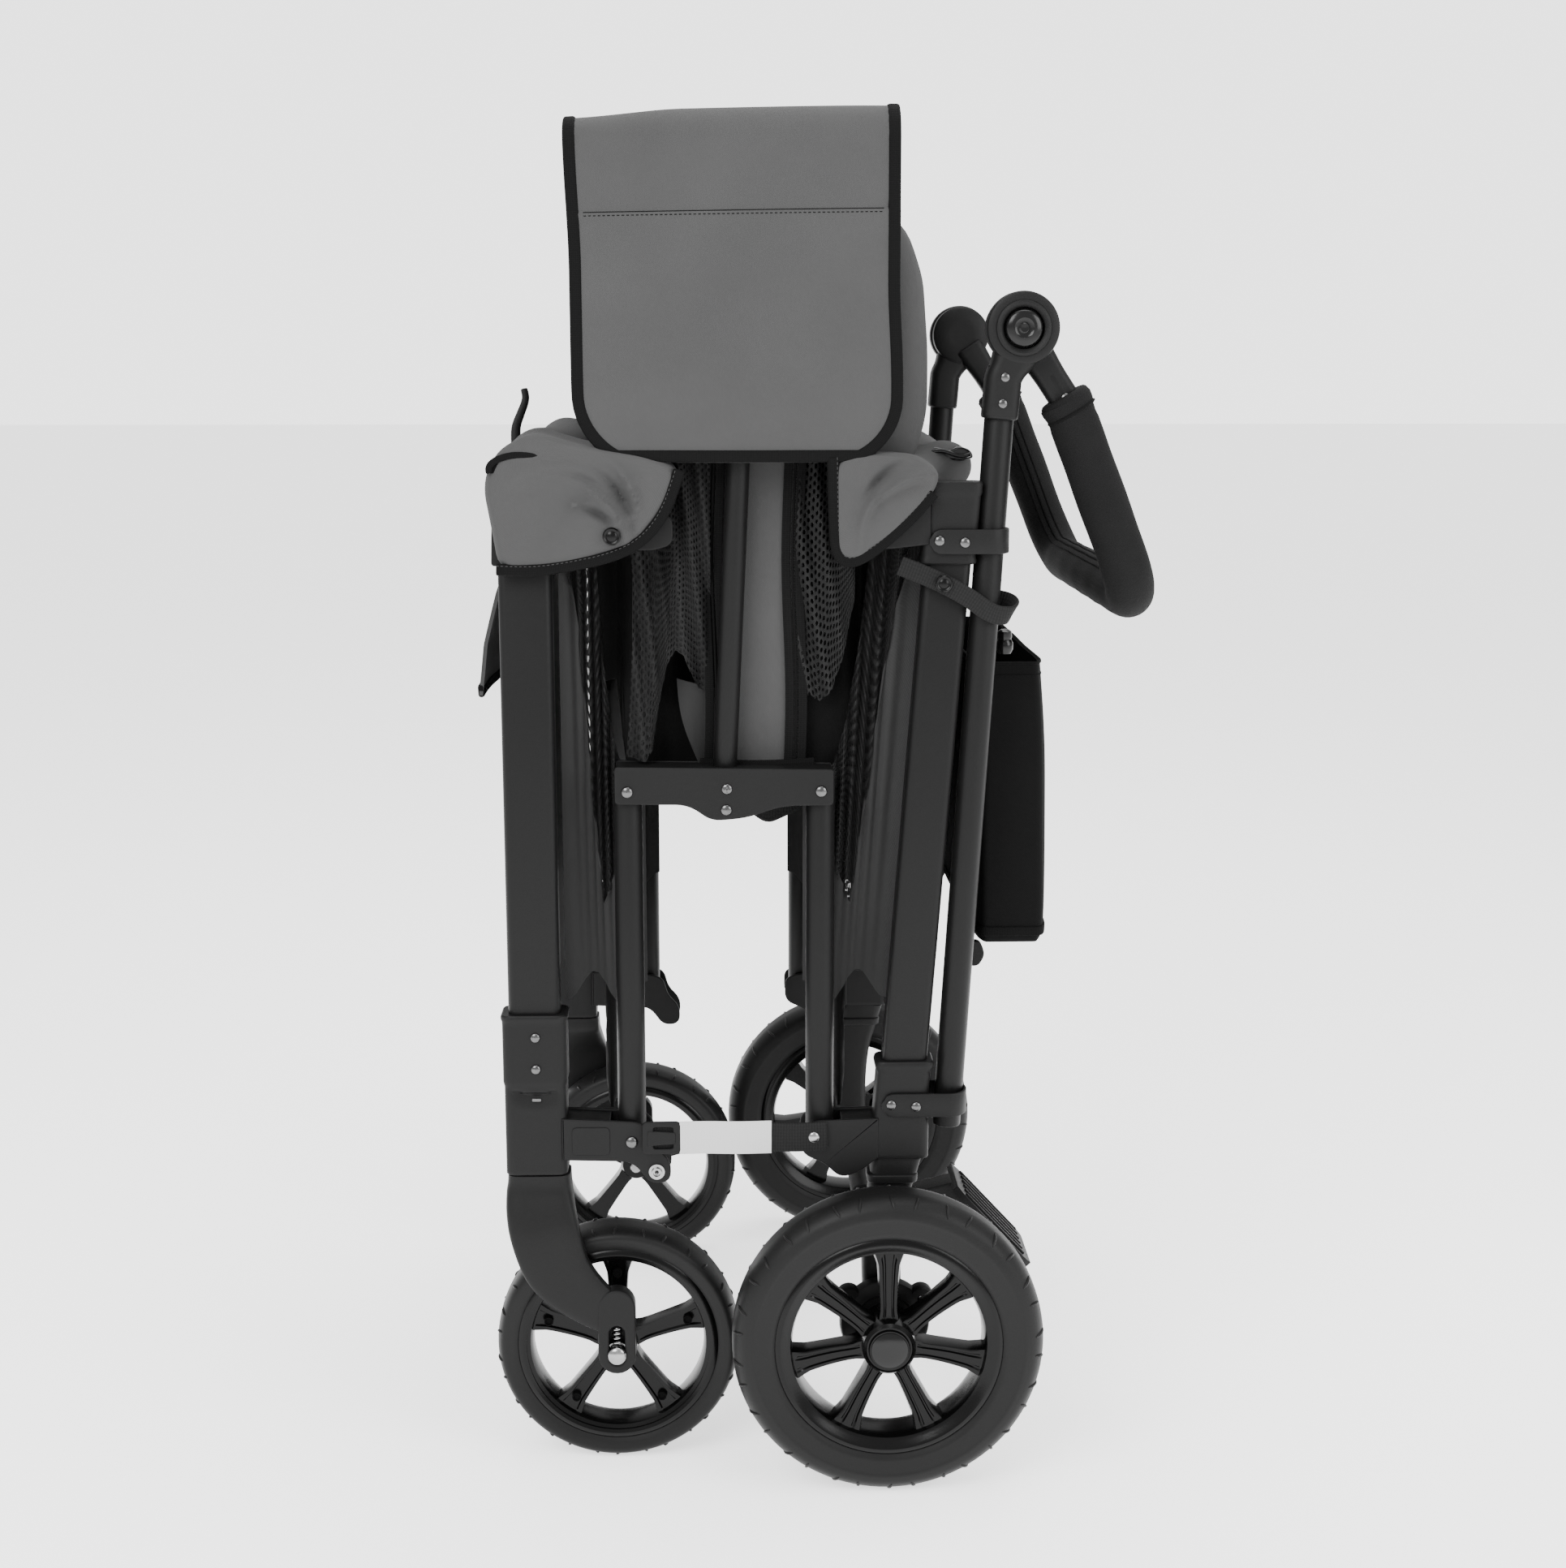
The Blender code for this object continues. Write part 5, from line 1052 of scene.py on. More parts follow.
def handleHub(name, side):  # arm with its hub half, the fixed half with its socket, and the release button
    s, r, face = handleSizes, handleSizes["hubRadius"], (0, side, 0)
    armWay = handleWay(s["armTurn"])
    inner, split, outer = frameY - 0.0165, frameY + 0.0005, frameY + 0.0165
    place, start = at(hub, 0.0), 0.012
    t = np.linspace(0, 1, 12)
    line = at(hub + armWay * (start + t * (s["arm"] * 0.96 - start))[:, None], side * s["barY"])
    scale = np.stack([1.04 - 0.16 * ease(t * 1.5), np.ones(12)], 1)
    parts = [sweep(line, roundBox(0.0255, 0.0190, 0.006), rounding=0.002, scale=scale),
             turned([(inner, r * 0.4), (inner, r - 0.004), (inner + 0.002, r - 0.0014),
                     (split - 0.0018, r - 0.0014), (split - 0.0006, r - 0.0024), (split - 0.0006, r * 0.4)],
                    place, face, 56)]
    piece(f"handleArm_{name}", parts, "sparkPlastic", "handle", sharp=40)
    crossScrew("handle", hub + armWay * (s["arm"] * 0.93), side, s["barY"] + 0.0093, 0.0040)
    rim = [(outer - 0.0090, r * 0.30), (outer - 0.0090, 0.0150), (outer - 0.0010, 0.0152),
           (outer + 0.0004, 0.0168), (outer + 0.0010, 0.0182), (outer + 0.0004, 0.0200),
           (outer - 0.0006, 0.0206),
           (outer - 0.0004, r - 0.0026), (outer - 0.0016, r - 0.0006), (outer - 0.0034, r),
           (split + 0.0012, r), (split, r - 0.0012), (split, r * 0.30)]
    z1, z0 = hub[1] - 0.018, hub[1] - 0.0660
    z = np.linspace(z0, z1, 24)
    x = np.interp(z, [z0, z0 + 0.03, z1], [float(handleTubeX(z0)), float(handleTubeX(hub[1] - r)),
                                           hub[0] - 0.004])
    width = 0.0262
    scale = np.stack([(width + 0.005 * ease((z - z1 + 0.014) / 0.012)) / width,
                      1 - 0.10 * ease((z0 + 0.010 - z) / 0.01)], 1)
    socket = sweep(space(x, side * split, z), roundBox(width, 0.0300, 0.0075, 5), rounding=0.002, scale=scale)
    piece(f"hingeHub_{name}", [turned(rim, place, face, 72), socket], "sparkPlastic", "rear_frame",
          [f"handle_hinge_{name}"], 40)
    addRivets("rear_frame", [(float(handleTubeX(z0 + 0.030)) + 0.0005, z0 + 0.0305),
                             (float(handleTubeX(z0 + 0.012)), z0 + 0.0115)], side, frameY + 0.0153, 0.0036,
                             0.0016)
    button = np.array([(0.0060, 0.0003), (0.0062, 0.0030), (0.0052, 0.0042), (0.0052, 0.0060),
                       (0.0062, 0.0074), (0.0058, 0.0116), (0.0046, 0.0132), (0.0028, 0.0138), (0.0, 0.0138)])
    piece(f"hubButton_{name}", turned(button + (outer - 0.0035, 0), place, face, 56), "glossPlastic",
          f"button_{name}", [f"hinge_button_{name}"])


handleBar()
for sideName, sideSign in sides:
    handleHub(sideName, sideSign)
print("handle done")


def sheet(name, grid, depth, material, body, stands=(), sharp=70):  # a cloth piece, its grid thickened into a closed sheet
    thing = piece(name, thicken(grid, depth), material, body, stands, sharp)


def wrinkles(a, b, seed, count=7):  # sum of a few seeded sine waves over two coordinates, about -1 to 1
    chance = np.random.default_rng(seed)
    total = np.zeros(np.broadcast(a, b).shape)
    for _ in range(count):
        turn = chance.uniform(0, np.pi)
        rate = chance.uniform(18, 75)
        phase = chance.uniform(0, 6.3)
        total += np.sin((a * np.cos(turn) + b * np.sin(turn)) * rate + phase) / (1 + rate / 30)
    return total / count * 1.8


hoodSizes = {"left": -0.1850, "right": 0.0535, "low": 0.7945, "crown": 1.0440, "halfY": 0.2300,
             "corner": 0.046,
             "thick": 0.0026, "seam": 0.9735, "tape": 0.0092, "edge": 0.0044, "shoulder": 0.020,
             "puff": 0.0055}


def hoodRuns():  # lengths from hem to crown: up the flap, with the shoulder, and in all
    h = hoodSizes
    drop = h["crown"] - h["low"] - h["shoulder"]
    bend = h["shoulder"] * np.pi / 2
    return drop, drop + bend, drop + bend + h["halfY"] - h["shoulder"]


def hoodSurface(u, s):
    # One sheet from flap hem to flap hem over the crown; u runs across it and s from -1 to 1
    h = hoodSizes
    drop, bent, total = hoodRuns()
    side = np.where(s < 0, -1.0, 1.0)
    run = (1 - np.abs(s)) * total
    turn = np.clip((run - drop) / h["shoulder"], 0, np.pi / 2)
    past = np.clip(run - bent, 0, None)
    z = h["low"] + np.minimum(run, drop) + h["shoulder"] * np.sin(turn)
    y = h["halfY"] - h["shoulder"] * (1 - np.cos(turn)) - past
    inset = h["corner"] * (1 - np.sqrt(np.clip(1 - np.clip(1 - run / h["corner"], 0, 1) ** 2, 0, 1)))
    leftEdge = h["left"] - 0.0035 * ease((z - 0.93) / 0.1) + 0.003 * ease((0.85 - z) / 0.05) + inset
    rightEdge = h["right"] + 0.0030 * bump((z - 0.845) / 0.08) - inset
    x = leftEdge + u * (rightEdge - leftEdge)
    rise = np.sin(np.pi * np.clip(u, 0, 1))
    down = np.clip((h["seam"] - 0.004 * (0.5 - u) - z) / 0.0016, 0, 1)  # the flap's layer below the seam
    onFlap = 1 - ease(past / 0.02)
    puff = h["puff"] * rise ** 0.6 * np.sin(np.pi * np.clip(run / bent, 0, 1)) ** 0.7
    fold = wrinkles(x, z, 8, 8) * 0.0016 * rise
    fold = fold + 0.0014 * np.sin((x * 0.6 + z) * 62 + 2 * side) * rise * bump((z - 0.86) / 0.07)
    out = (puff + fold + 0.0011 * down) * np.cos(turn)
    crest = (0.0045 * rise ** 0.8 + 0.0016 * wrinkles(x, y, 11, 6)) * (0.4 + 0.6 * ease(past / 0.05))
    crest = (crest + 0.006 * (u - 0.5) - 0.004 * bump(u / 0.35)) * np.sin(turn)
    return space(x, side * (y + out * onFlap), z + crest)


def hood():
    h, rests = hoodSizes, ["crownPlate_left", "crownPlate_right"]
    total = hoodRuns()[2]
    corner = h["corner"] * (1 - np.cos(np.linspace(0, np.pi / 2, 12)))
    seamRun = h["seam"] - h["low"] + np.linspace(-0.004, 0.004, 9)
    s = 1 - np.unique(np.round(np.r_[corner, np.linspace(h["corner"], total, 74), seamRun], 6)) / total
    s = np.r_[-s, s[::-1][1:]] if abs(s[-1]) < 1e-9 else np.r_[-s, s[::-1]]
    grid = hoodSurface(*np.meshgrid(np.linspace(0, 1, 56), s, indexing="ij"))
    sheet("canopyHood", grid, h["thick"], "greyTwill", "centre_frame",
          ["roof_centre", "side_flap_left", "side_flap_right"], 60)
    line, normal = hoodEdge(total)
    piece("canopyHoodBinding", sweep(line, roundBox(h["tape"], 0.0056, 0.0022, 3), normal, closed=True),
          "binding", "centre_frame", sharp=60)
    seams, u = [], np.linspace(0.05, 0.95, 60)
    for _, side in sides:
        for below, lift in ((0.0022, 0.0001), (0.0, -0.0003)):
            z = h["seam"] - 0.004 * (0.5 - u) - below - 0.0004
            seam = hoodSurface(u, side * (1 - (z - h["low"]) / total)) + (0, side * (h["thick"] / 2 + lift),
                                                                          0)
            seams.append(stitches(seam, (0, side, 0)) if below else
                         sweep(seam, ring(0.0007, 6), (0, side, 0.001), 0.0003))
    piece("canopyHoodSeams", seams, "blackCloth", "centre_frame")


def hoodEdge(total):  # loop just inside the hood's edge, and the cloth's normals along it
    h = hoodSizes
    insetU, insetS = h["edge"] / 0.24, h["edge"] / total
    across = np.linspace(0.0, 1.0, 40)[1:-1]
    corner = h["edge"] + h["corner"] * (1 - np.cos(np.linspace(0, np.pi / 2, 14)))
    edgeS = np.unique(np.round(np.r_[1 - corner / total, np.linspace(0, 1 - (h["corner"] + 0.004) / total,
                                                                     50)], 6))
    down, up = np.r_[edgeS[::-1], -edgeS[1:]], np.r_[-edgeS[::-1], edgeS[1:]]
    span = 1 - 2 * insetU
    u = np.r_[np.full(len(down), insetU), across * span + insetU, np.full(len(up), 1 - insetU),
              across[::-1] * span + insetU]
    s = np.r_[down, np.full(38, insetS - 1), up, np.full(38, 1 - insetS)]
    line, eps = hoodSurface(u, s), 0.004
    normal = unit(np.cross(hoodSurface(u + eps, s) - hoodSurface(u - eps, s),
                           hoodSurface(u, s + eps) - hoodSurface(u, s - eps)))
    out = space(0, line[:, 1], np.where(np.abs(line[:, 1]) < h["halfY"] - 0.01, 1.0, 0.1))
    normal *= np.sign(np.sum(normal * out, 1))[:, None]
    keep = np.linalg.norm(line - np.roll(line, 1, 0), axis=1) > 0.0006
    line, normal = line[keep], normal[keep]
    return line, unit(np.roll(normal, 1, 0) + normal + np.roll(normal, -1, 0))


def roofCloth(name, body, node, keysZ, keysX, way, halfY):
    # Folded roof panel: a billow whose depth follows keys up its height, with side skirts
    z = np.linspace(keysZ[0], keysZ[-1], 44)
    x = np.interp(z, keysZ, keysX)
    for _ in range(3):
        x[1:-1] = (x[:-2] + 2 * x[1:-1] + x[2:]) / 4
    root, t = keysX[-1], np.linspace(-1, 1, 81)[:, None]
    y = halfY * np.sign(t) * np.minimum(np.abs(t) * 1.12, 1)
    skirt = 1 - np.clip((np.abs(t) * 1.12 - 1) / 0.12, 0, 1)
    roundOff = np.clip((np.abs(y) - halfY + 0.016) / 0.016, 0, 1)
    swell = np.sin(np.pi * (z - z[0]) / (z[-1] - z[0])) * ease((0.960 - z) / 0.03)
    ripple = way * 0.003 * wrinkles(y, z[None], 21, 7) * swell
    grid = space(root + ((x - root) * (1 - roundOff ** 3 * 0.35) + ripple) * skirt,
                 y + np.sign(y) * 0.0008 * wrinkles(z[None], y, 4), z[None])
    sheet(name, grid, 0.0026, "greyTwill", body, [node], 60)


def valance():  # cloth hanging across the stroller under the crown, between the two folded roof halves
    u, v = np.meshgrid(np.linspace(-0.196, 0.196, 60), np.linspace(0, 1, 24), indexing="ij")
    x = crown[0] + 0.004 * np.sin(u * 38) * (1 - v) + 0.0015 * wrinkles(u, v * 0.2, 25, 6)
    grid = space(x, u, 0.9550 + (hoodSizes["crown"] - 0.0040 - 0.9550) * v)
    # the valance uses the darker twill copy: painted shade for grey cloth under the crown
    sheet("canopyValance", grid, 0.0018, "shadeTwill", "centre_frame")


def rimCover(name, body, cover):
    # Loft along y: a flat near face, the cuff outline, then a thin roll across to the far side
    count, outer, centre = 96, cover["outer"], np.array(cover["centre"])
    loop = resample(roundCorners(cover["outline"], 0.012, 6), count, closed=True)
    angle = np.arctan2(loop[:, 1] - centre[1], loop[:, 0] - centre[0])
    order = np.roll(np.arange(count), -int(np.argmin(angle)))
    loop, angle = loop[order], angle[order]
    if np.sum(np.diff(angle) > 0) < count / 2:
        loop, angle = loop[::-1], angle[::-1]
    roll = np.array(cover["roll"]) + cover["rollRadius"] * circle(angle)
    rows, level = [], []
    for share in np.linspace(0.03, 0.94, 26):
        rows.append(centre + (loop - centre) * share)
        level.append(outer + 0.0050 * np.sqrt(1 - share ** 2) - 0.0005)
    for turn in np.linspace(0.25, 1.0, 5) * np.pi / 2:
        rows.append(centre + (loop - centre) * (0.94 + 0.06 * np.sin(turn)))
        level.append(outer - 0.007 + 0.0070 * np.cos(turn))
    for share in np.linspace(0.08, 1.0, 20):
        mix = ease((share - 0.35) / 0.65)
        rows.append(loop * (1 - mix) + roll * mix)
        level.append(outer - 0.007 - share * 0.072)
    half = at(np.stack(rows), -np.array(level)[:, None])
    face = np.clip((np.abs(half[..., 1]) - outer + 0.010) / 0.010, 0, 1)
    swirl = np.zeros(half.shape[:2])
    for fx, fz, turnBy, wide, long, deep in cover["folds"]:  # x, z, direction, width, length, depth
        dx, dz = half[..., 0] - fx, half[..., 2] - fz
        a = dx * math.cos(turnBy) + dz * math.sin(turnBy)
        b = -dx * math.sin(turnBy) + dz * math.cos(turnBy) + 9.0 * a * a
        swirl += 2.3 * deep * np.exp(-(b / wide) ** 2 - (a / long) ** 2)
    half[..., 1] -= (swirl + 0.0013 * wrinkles(half[..., 0], half[..., 2], cover["seed"], 8)) * face
    rough = wrinkles(half[..., 1], half[..., 2] + half[..., 0], cover["seed"] + 1, 7)
    half[..., 2] += rough * 0.0016 * (1 - face)
    y = np.linspace(-outer + 0.085, outer - 0.085, 14)[:, None]
    sag = 0.002 * wrinkles(y, roll[None, :, 0], cover["seed"] + 2, 6) - 0.004 * bump(y / 0.16)
    across = space(roll[:, 0], y, roll[:, 1] + sag)
    grid = np.concatenate([half, across, half[::-1] * (1, -1, 1)])
    thing = piece(name, lattice(grid, closeV=True, caps=True), "greyTwill", body, sharp=70)
    hem = smoothPath(cover["hem"], 60)
    inside = offsetOpen(hem, 0.0028, centre)
    for sideName, side in sides:
        tape = sweep(at(hem, side * (outer - 0.0006)), roundBox(0.0088, 0.0058, 0.0024, 3), (0, side, 0),
                     0.001)
        piece(f"{name}Binding_{sideName}", tape, "binding", body, sharp=60)
        row = stitches(at(inside, side * (outer + 0.0021)), (0, side, 0), 0.0034, 0.6, 0.0003)
        piece(f"{name}Binding_{sideName}Stitches", row, "thread", body)


def offsetOpen(line, gap, toward):  # open line moved along its normal toward a point
    tangent = unit(np.gradient(line, axis=0))
    normal = np.stack([-tangent[:, 1], tangent[:, 0]], 1)
    normal *= np.sign(np.sum(normal * (toward - line), 1))[:, None]
    return line + normal * gap


def snap(place, side, y, radius=0.0068):  # press stud: raised ring round a shallow crowned cap
    line = [(0.0030, 0.0003), (0.0029, radius * 0.42), (0.0021, radius * 0.58), (0.0022, radius * 0.70),
            (0.0030, radius * 0.84), (0.0022, radius * 0.98), (-0.0020, radius)]
    return turned(line, at(place, side * y), (0, side, 0), 32)


frontCover = {
    "outline": [(-0.2490, 0.7860), (-0.2505, 0.7730), (-0.2455, 0.7445), (-0.2410, 0.7160), (-0.1890, 0.7190),
                (-0.1390, 0.7340), (-0.1160, 0.7630), (-0.1060, 0.7900), (-0.1300, 0.8000), (-0.1800, 0.8080),
                (-0.2150, 0.8170), (-0.2400, 0.8030)],
    "centre": (-0.184, 0.764), "roll": (-0.214, 0.792), "rollRadius": 0.0255, "outer": 0.2345, "seed": 31,
    "folds": [(-0.158, 0.765, -0.9, 0.0032, 0.020, 0.0042), (-0.150, 0.770, -1.0, 0.0028, 0.020, -0.0030),
              (-0.168, 0.772, -0.75, 0.0034, 0.022, 0.0036), (-0.177, 0.781, -0.5, 0.0040, 0.024, -0.0028),
              (-0.142, 0.776, -1.15, 0.0032, 0.018, 0.0034), (-0.165, 0.757, -0.5, 0.0030, 0.012, -0.0026),
              (-0.205, 0.790, 0.1, 0.0060, 0.030, 0.0022), (-0.150, 0.752, 0.5, 0.0030, 0.009, 0.0026)],
    "hem": [(-0.2425, 0.7165), (-0.2150, 0.7155), (-0.1890, 0.7190), (-0.1600, 0.7250), (-0.1390, 0.7340),
            (-0.1245, 0.7480), (-0.1150, 0.7650), (-0.1070, 0.7890)]}
rearCover = {
    "outline": [(0.0050, 0.7900), (0.0060, 0.7560), (0.0070, 0.7240), (0.0190, 0.7190), (0.0500, 0.7400),
                (0.0790, 0.7690), (0.0860, 0.7860), (0.0700, 0.7990), (0.0400, 0.8020), (0.0150, 0.8000)],
    "centre": (0.040, 0.766), "roll": (0.098, 0.7880), "rollRadius": 0.0185, "outer": 0.2325, "seed": 41,
    "folds": [(0.052, 0.778, 0.5, 0.0030, 0.018, 0.0036), (0.040, 0.782, 0.8, 0.0030, 0.016, -0.0030),
              (0.062, 0.785, 0.2, 0.0030, 0.014, 0.0030), (0.030, 0.760, 1.2, 0.0040, 0.020, 0.0024)],
    "hem": [(0.0058, 0.7980), (0.0065, 0.7550), (0.0085, 0.7255), (0.0190, 0.7200), (0.0330, 0.7270),
            (0.0500, 0.7405), (0.0660, 0.7555), (0.0800, 0.7720)]}


def rimDetails(name, side):  # a press stud, and a dark mouth with a bound lip
    piece(f"frontRimSnap_{name}", snap((-0.1570, 0.7410), side, 0.2385), "rimPlastic", "front_frame")
    mouth = (-0.2225, 0.7895) + circle(np.linspace(-0.15, np.pi + 0.25, 24)) * (0.0235, 0.0105)
    low = np.linspace(mouth[-1], mouth[0], 10)[1:-1] - (0, 0.0015)
    piece(f"frontRimMouth_{name}", plate(np.concatenate([mouth, low]), side * 0.2310, side * 0.2362, 0.0008),
          "shadowPlastic", "front_frame")
    piece(f"frontRimLip_{name}", sweep(at(mouth, side * 0.2362), bar(0.0050, 0.0036, 0.0015), (0, side, 0),
                                       0.001),
          "binding", "front_frame")


fanSizes = {"postTop": 0.474, "reach": 0.2780, "lowStart": 0.105, "meshY": 0.1886, "pleat": 0.0042,
            "pleats": 7,
            "frontPostX": -0.2005, "frontLinkX": -0.1365, "rearPostX": 0.0525, "rearLinkX": -0.0145}


def fan(front, side, mesh, rows=60, columns=90):
    # Side cloth as spokes about the lower pivot: its angle follows the fold, its reach the open outline
    size = fanSizes
    share = np.linspace(0, 1, columns)
    t = (0.5 - np.sin(np.arcsin(1 - 2 * share) / 3))[:, None]
    phi = share * np.pi / 2
    rim = np.minimum(size["postTop"] / np.maximum(np.cos(phi), 1e-6),
                     size["reach"] / np.maximum(np.sin(phi), 1e-6))
    rim = np.minimum(rim, 0.515 - 0.02 * share)
    split = np.interp(share, [0, 0.12, 0.30, 0.48, 0.70, 0.88, 1.0],
                      [0.452, 0.405, 0.270, 0.178, 0.205, 0.245, 0.262])  # where mesh gives way to cloth
    start = size["lowStart"] + 0.02 * share + 0.018 * np.sin(share * 6.0)
    inner, outer = (split, rim) if mesh else (start, np.minimum(split + 0.004, rim))
    v = np.linspace(0, 1, rows)[None]
    rho = inner[:, None] + (outer - inner)[:, None] * v
    z = (lowerFront if front else lowerRear)[1] + rho
    inside = size["frontPostX"] if front else rearPostX(z) - frameSizes["rearPost"] / 2 + 0.0015
    x = inside + (size["frontLinkX" if front else "rearLinkX"] - inside) * t + 0 * z
    pleat = np.sin(share[:, None] * 2 * np.pi * size["pleats"] + 2.2 * v + (0.6 if front else 2.1))
    grow = np.clip((rho - 0.10) / 0.16, 0.15, 1)
    y = size["pleat"] * (pleat * 0.8 + 0.2 * wrinkles(x * 2, z, 51 if mesh else 57, 6)) * grow
    if not mesh:
        y = 0.45 * y + 0.0012 * wrinkles(x, z, 61, 6) + np.where(np.arange(rows) > rows - 3, 0.0006, 0)
    return space(x, side * (size["meshY"] + y), z)


zipFolds = {"front": {"x": [-0.1500, -0.1350, -0.1300, -0.1250, -0.1180, -0.1120, -0.1060, -0.1000, -0.0950,
                            -0.0850],
                      "z": [0.5700, 0.5680, 0.5760, 0.6100, 0.6430, 0.6530, 0.6500, 0.6350, 0.6230, 0.6160],
                      "ridge": -0.1120, "deep": 0.018, "lean": 5.0, "way": 1},
            "rear": {"x": [-0.0150, -0.0100, -0.0020, 0.0060, 0.0140, 0.0240],
                     "z": [0.6130, 0.6180, 0.6120, 0.6200, 0.6420, 0.6900],
                     "ridge": 0.0080, "deep": 0.010, "lean": -4.0, "way": -1}}
clothTop = 0.800


def sideFans(name, side):
    for label in ("front", "rear"):
        front = label == "front"
        # the lower cloth takes the darker twill copy: painted shade on the same grey cloth
        for kind, depth, cloth in (("Mesh", 0.0007, "meshCloth"), ("Lower", 0.0018, "shadeTwill")):
            grid = fan(front, side, kind == "Mesh")
            thing = piece(f"{label}Side{kind}_{name}", thicken(grid, depth), cloth, None, sharp=70)
            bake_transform(thing)


def sideCloth(name, side):
    for label, fold in zipFolds.items():
        u, v = unitGrid(100, 90)
        x = fold["x"][0] + (fold["x"][-1] - fold["x"][0]) * u
        foot = np.interp(x, fold["x"], fold["z"])
        z = foot + (clothTop - foot) * v
        lean = (fold["ridge"] - x) / 0.034 + (z - 0.66) * fold["lean"]
        y = 0.1945 + fold["deep"] * bump(lean) * (0.35 + 0.65 * bump((v - 0.12) / 1.1))
        y = y + 0.0030 * np.sin(x * 420 + z * 60) + 0.0012 * wrinkles(x, z, 71, 6)
        drift = fold["way"] * 0.006 * np.sin(v * 3.0) * (1 - u)
        sheet(f"{label}ZipMesh_{name}", space(x + drift, side * y, z), 0.0007, "meshCloth", "centre_frame")
    u, v = unitGrid(16, 20)
    x = (-0.1110 + 0.0340 * u) * (1 - v) + (-0.0950 + 0.0180 * u) * v - 0.004 * np.sin(np.pi * v) * (1 - u)
    z = (0.6290 - 0.0090 * u) * (1 - v) + 0.5640 * v
    # the gusset takes the darker twill copy: painted shade on the same grey cloth
    sheet(f"zipGusset_{name}", space(x, side * (0.1905 + 0.002 * np.sin(u * 5 + v * 2)), z), 0.0018,
          "shadeTwill", "centre_frame")
    u, v = unitGrid(90, 50)
    x = -0.1740 + 0.2060 * u
    foot = 0.556 + 0.004 * np.sin(u * 9) + 0.068 * ease((-0.1500 - x) / 0.008)
    z = foot + (clothTop - foot) * v
    foot = ease((0.650 - z) / 0.05)  # the foot hangs outside the floor pads
    wavy = 0.0060 * np.sin(u * 48 + v * 2) + 0.0015 * wrinkles(x, z, 77, 6)
    y = 0.1640 + 0.0186 * foot + (1 - 0.85 * foot) * wavy
    sheet(f"innerCurtain_{name}", space(x, side * y, z), 0.0012, "blackCloth", "centre_frame")


def strip(name, side):  # centre strip behind the post, with a zip down each edge and a bound foot
    low = middle[1] + 0.0165
    u, v = unitGrid(30, 60)
    x = -0.0810 + 0.0620 * u + 0.0015 * np.sin(v * 7)
    z = low + (clothTop - low) * v
    y = 0.1975 - 0.0015 * np.sin(np.pi * u) + 0.0010 * wrinkles(x, z, 81, 6)
    sheet(f"centreStrip_{name}", space(x, side * y, z), 0.0020, "greyTwill", "centre_frame",
          [f"side_mesh_{name}"])
    tapes, teeth, out = [], [], (0, side, 0)
    t = np.linspace(0, 1, 24)
    for x0 in (-0.0825, -0.0215):
        line = space(x0 + 0.0015 * np.sin(t * 7), side * 0.1995, low - 0.004 + (clothTop - low + 0.004) * t)
        tapes += [sweep(line + (shift, 0, 0), bar(0.0066, 0.0012, 0.0004), out, 0.0005)
                  for shift in (-0.0050, 0.0050)]
        teeth += [stitches(line + (0, side * 0.0002, 0), out, 0.0021, 0.62, 0.0014),
                  sweep(line, ring(0.0011, 8), out, 0.0004)]
    t = np.linspace(0, 1, 30)
    foot = space(-0.094 + 0.088 * t, side * 0.2000, low + 0.001 - 0.002 * np.sin(np.pi * t))
    tapes.append(sweep(foot, bar(0.0085, 0.0040, 0.0015), out, 0.001))
    piece(f"centreZipTapes_{name}", tapes, "zipTape", "centre_frame")
    piece(f"centreZipTeeth_{name}", teeth, "blackCloth", "centre_frame")


panelSizes = {"halfY": 0.1915, "high": 0.744, "front": 0.328, "rear": 0.322, "sag": 0.0045}


def endPanel(label, way):  # sheet between two posts, with a piped window
    size, halfY = panelSizes, panelSizes["halfY"]
    low, tall = size[label], size["high"] - size[label]
    u, v = np.meshgrid(np.linspace(-1, 1, 60), np.linspace(0, 1, 70), indexing="ij")
    z = low + tall * v
    base = casterX + 0 * z if way < 0 else rearPostX(z)
    sag = way * size["sag"] * (1 - u ** 2) * np.sin(np.pi * v)
    x = base + sag + 0.0016 * wrinkles(u * halfY, z, 91, 7) * (1 - u ** 4)
    sheet(f"{label}EndPanel", space(x, u * halfY, z), 0.0024, "greyTwill", f"{label}_frame",
          [f"{label}_panel"])
    window = roundCorners([(-0.135, 0.470), (0.135, 0.470), (0.125, 0.690), (-0.125, 0.690)], 0.03, 6)
    y, z = resample(window, 120, closed=True).T
    face = np.interp(z, [low, low + tall], [base[0, 0], base[0, -1]])
    sag = way * size["sag"] * (1 - (y / halfY) ** 2) * np.sin(np.pi * (z - low) / tall)
    piping = sweep(space(face + sag + way * 0.0016, y, z), bar(0.0075, 0.0022, 0.001), (way, 0, 0.001),
                   closed=True)
    piece(f"{label}EndPanelPiping", piping, "binding", f"{label}_frame")


def hangingFlap():  # cloth flap under the front cover, with a bound hem
    u, v = np.meshgrid(np.linspace(-0.188, 0.188, 60), np.linspace(0, 1, 40), indexing="ij")
    x = np.interp(v, [0, 0.2, 0.6, 1], [-0.2395, -0.2460, -0.2560, -0.2605])
    z = 0.7120 - 0.0970 * v + 0.0015 * np.sin(u * 30)
    grid = space(x + 0.0014 * wrinkles(u, v * 0.1, 97, 6), u, z)
    sheet("frontHangingFlap", grid, 0.0030, "greyTwill", "front_frame")
    hem = sweep(grid[:, -2] + (0, 0, 0.001), bar(0.0050, 0.0100, 0.002), (-0.05, 0, 1.0), 0.001)
    piece("frontHangingFlapBinding", hem, "binding", "front_frame")


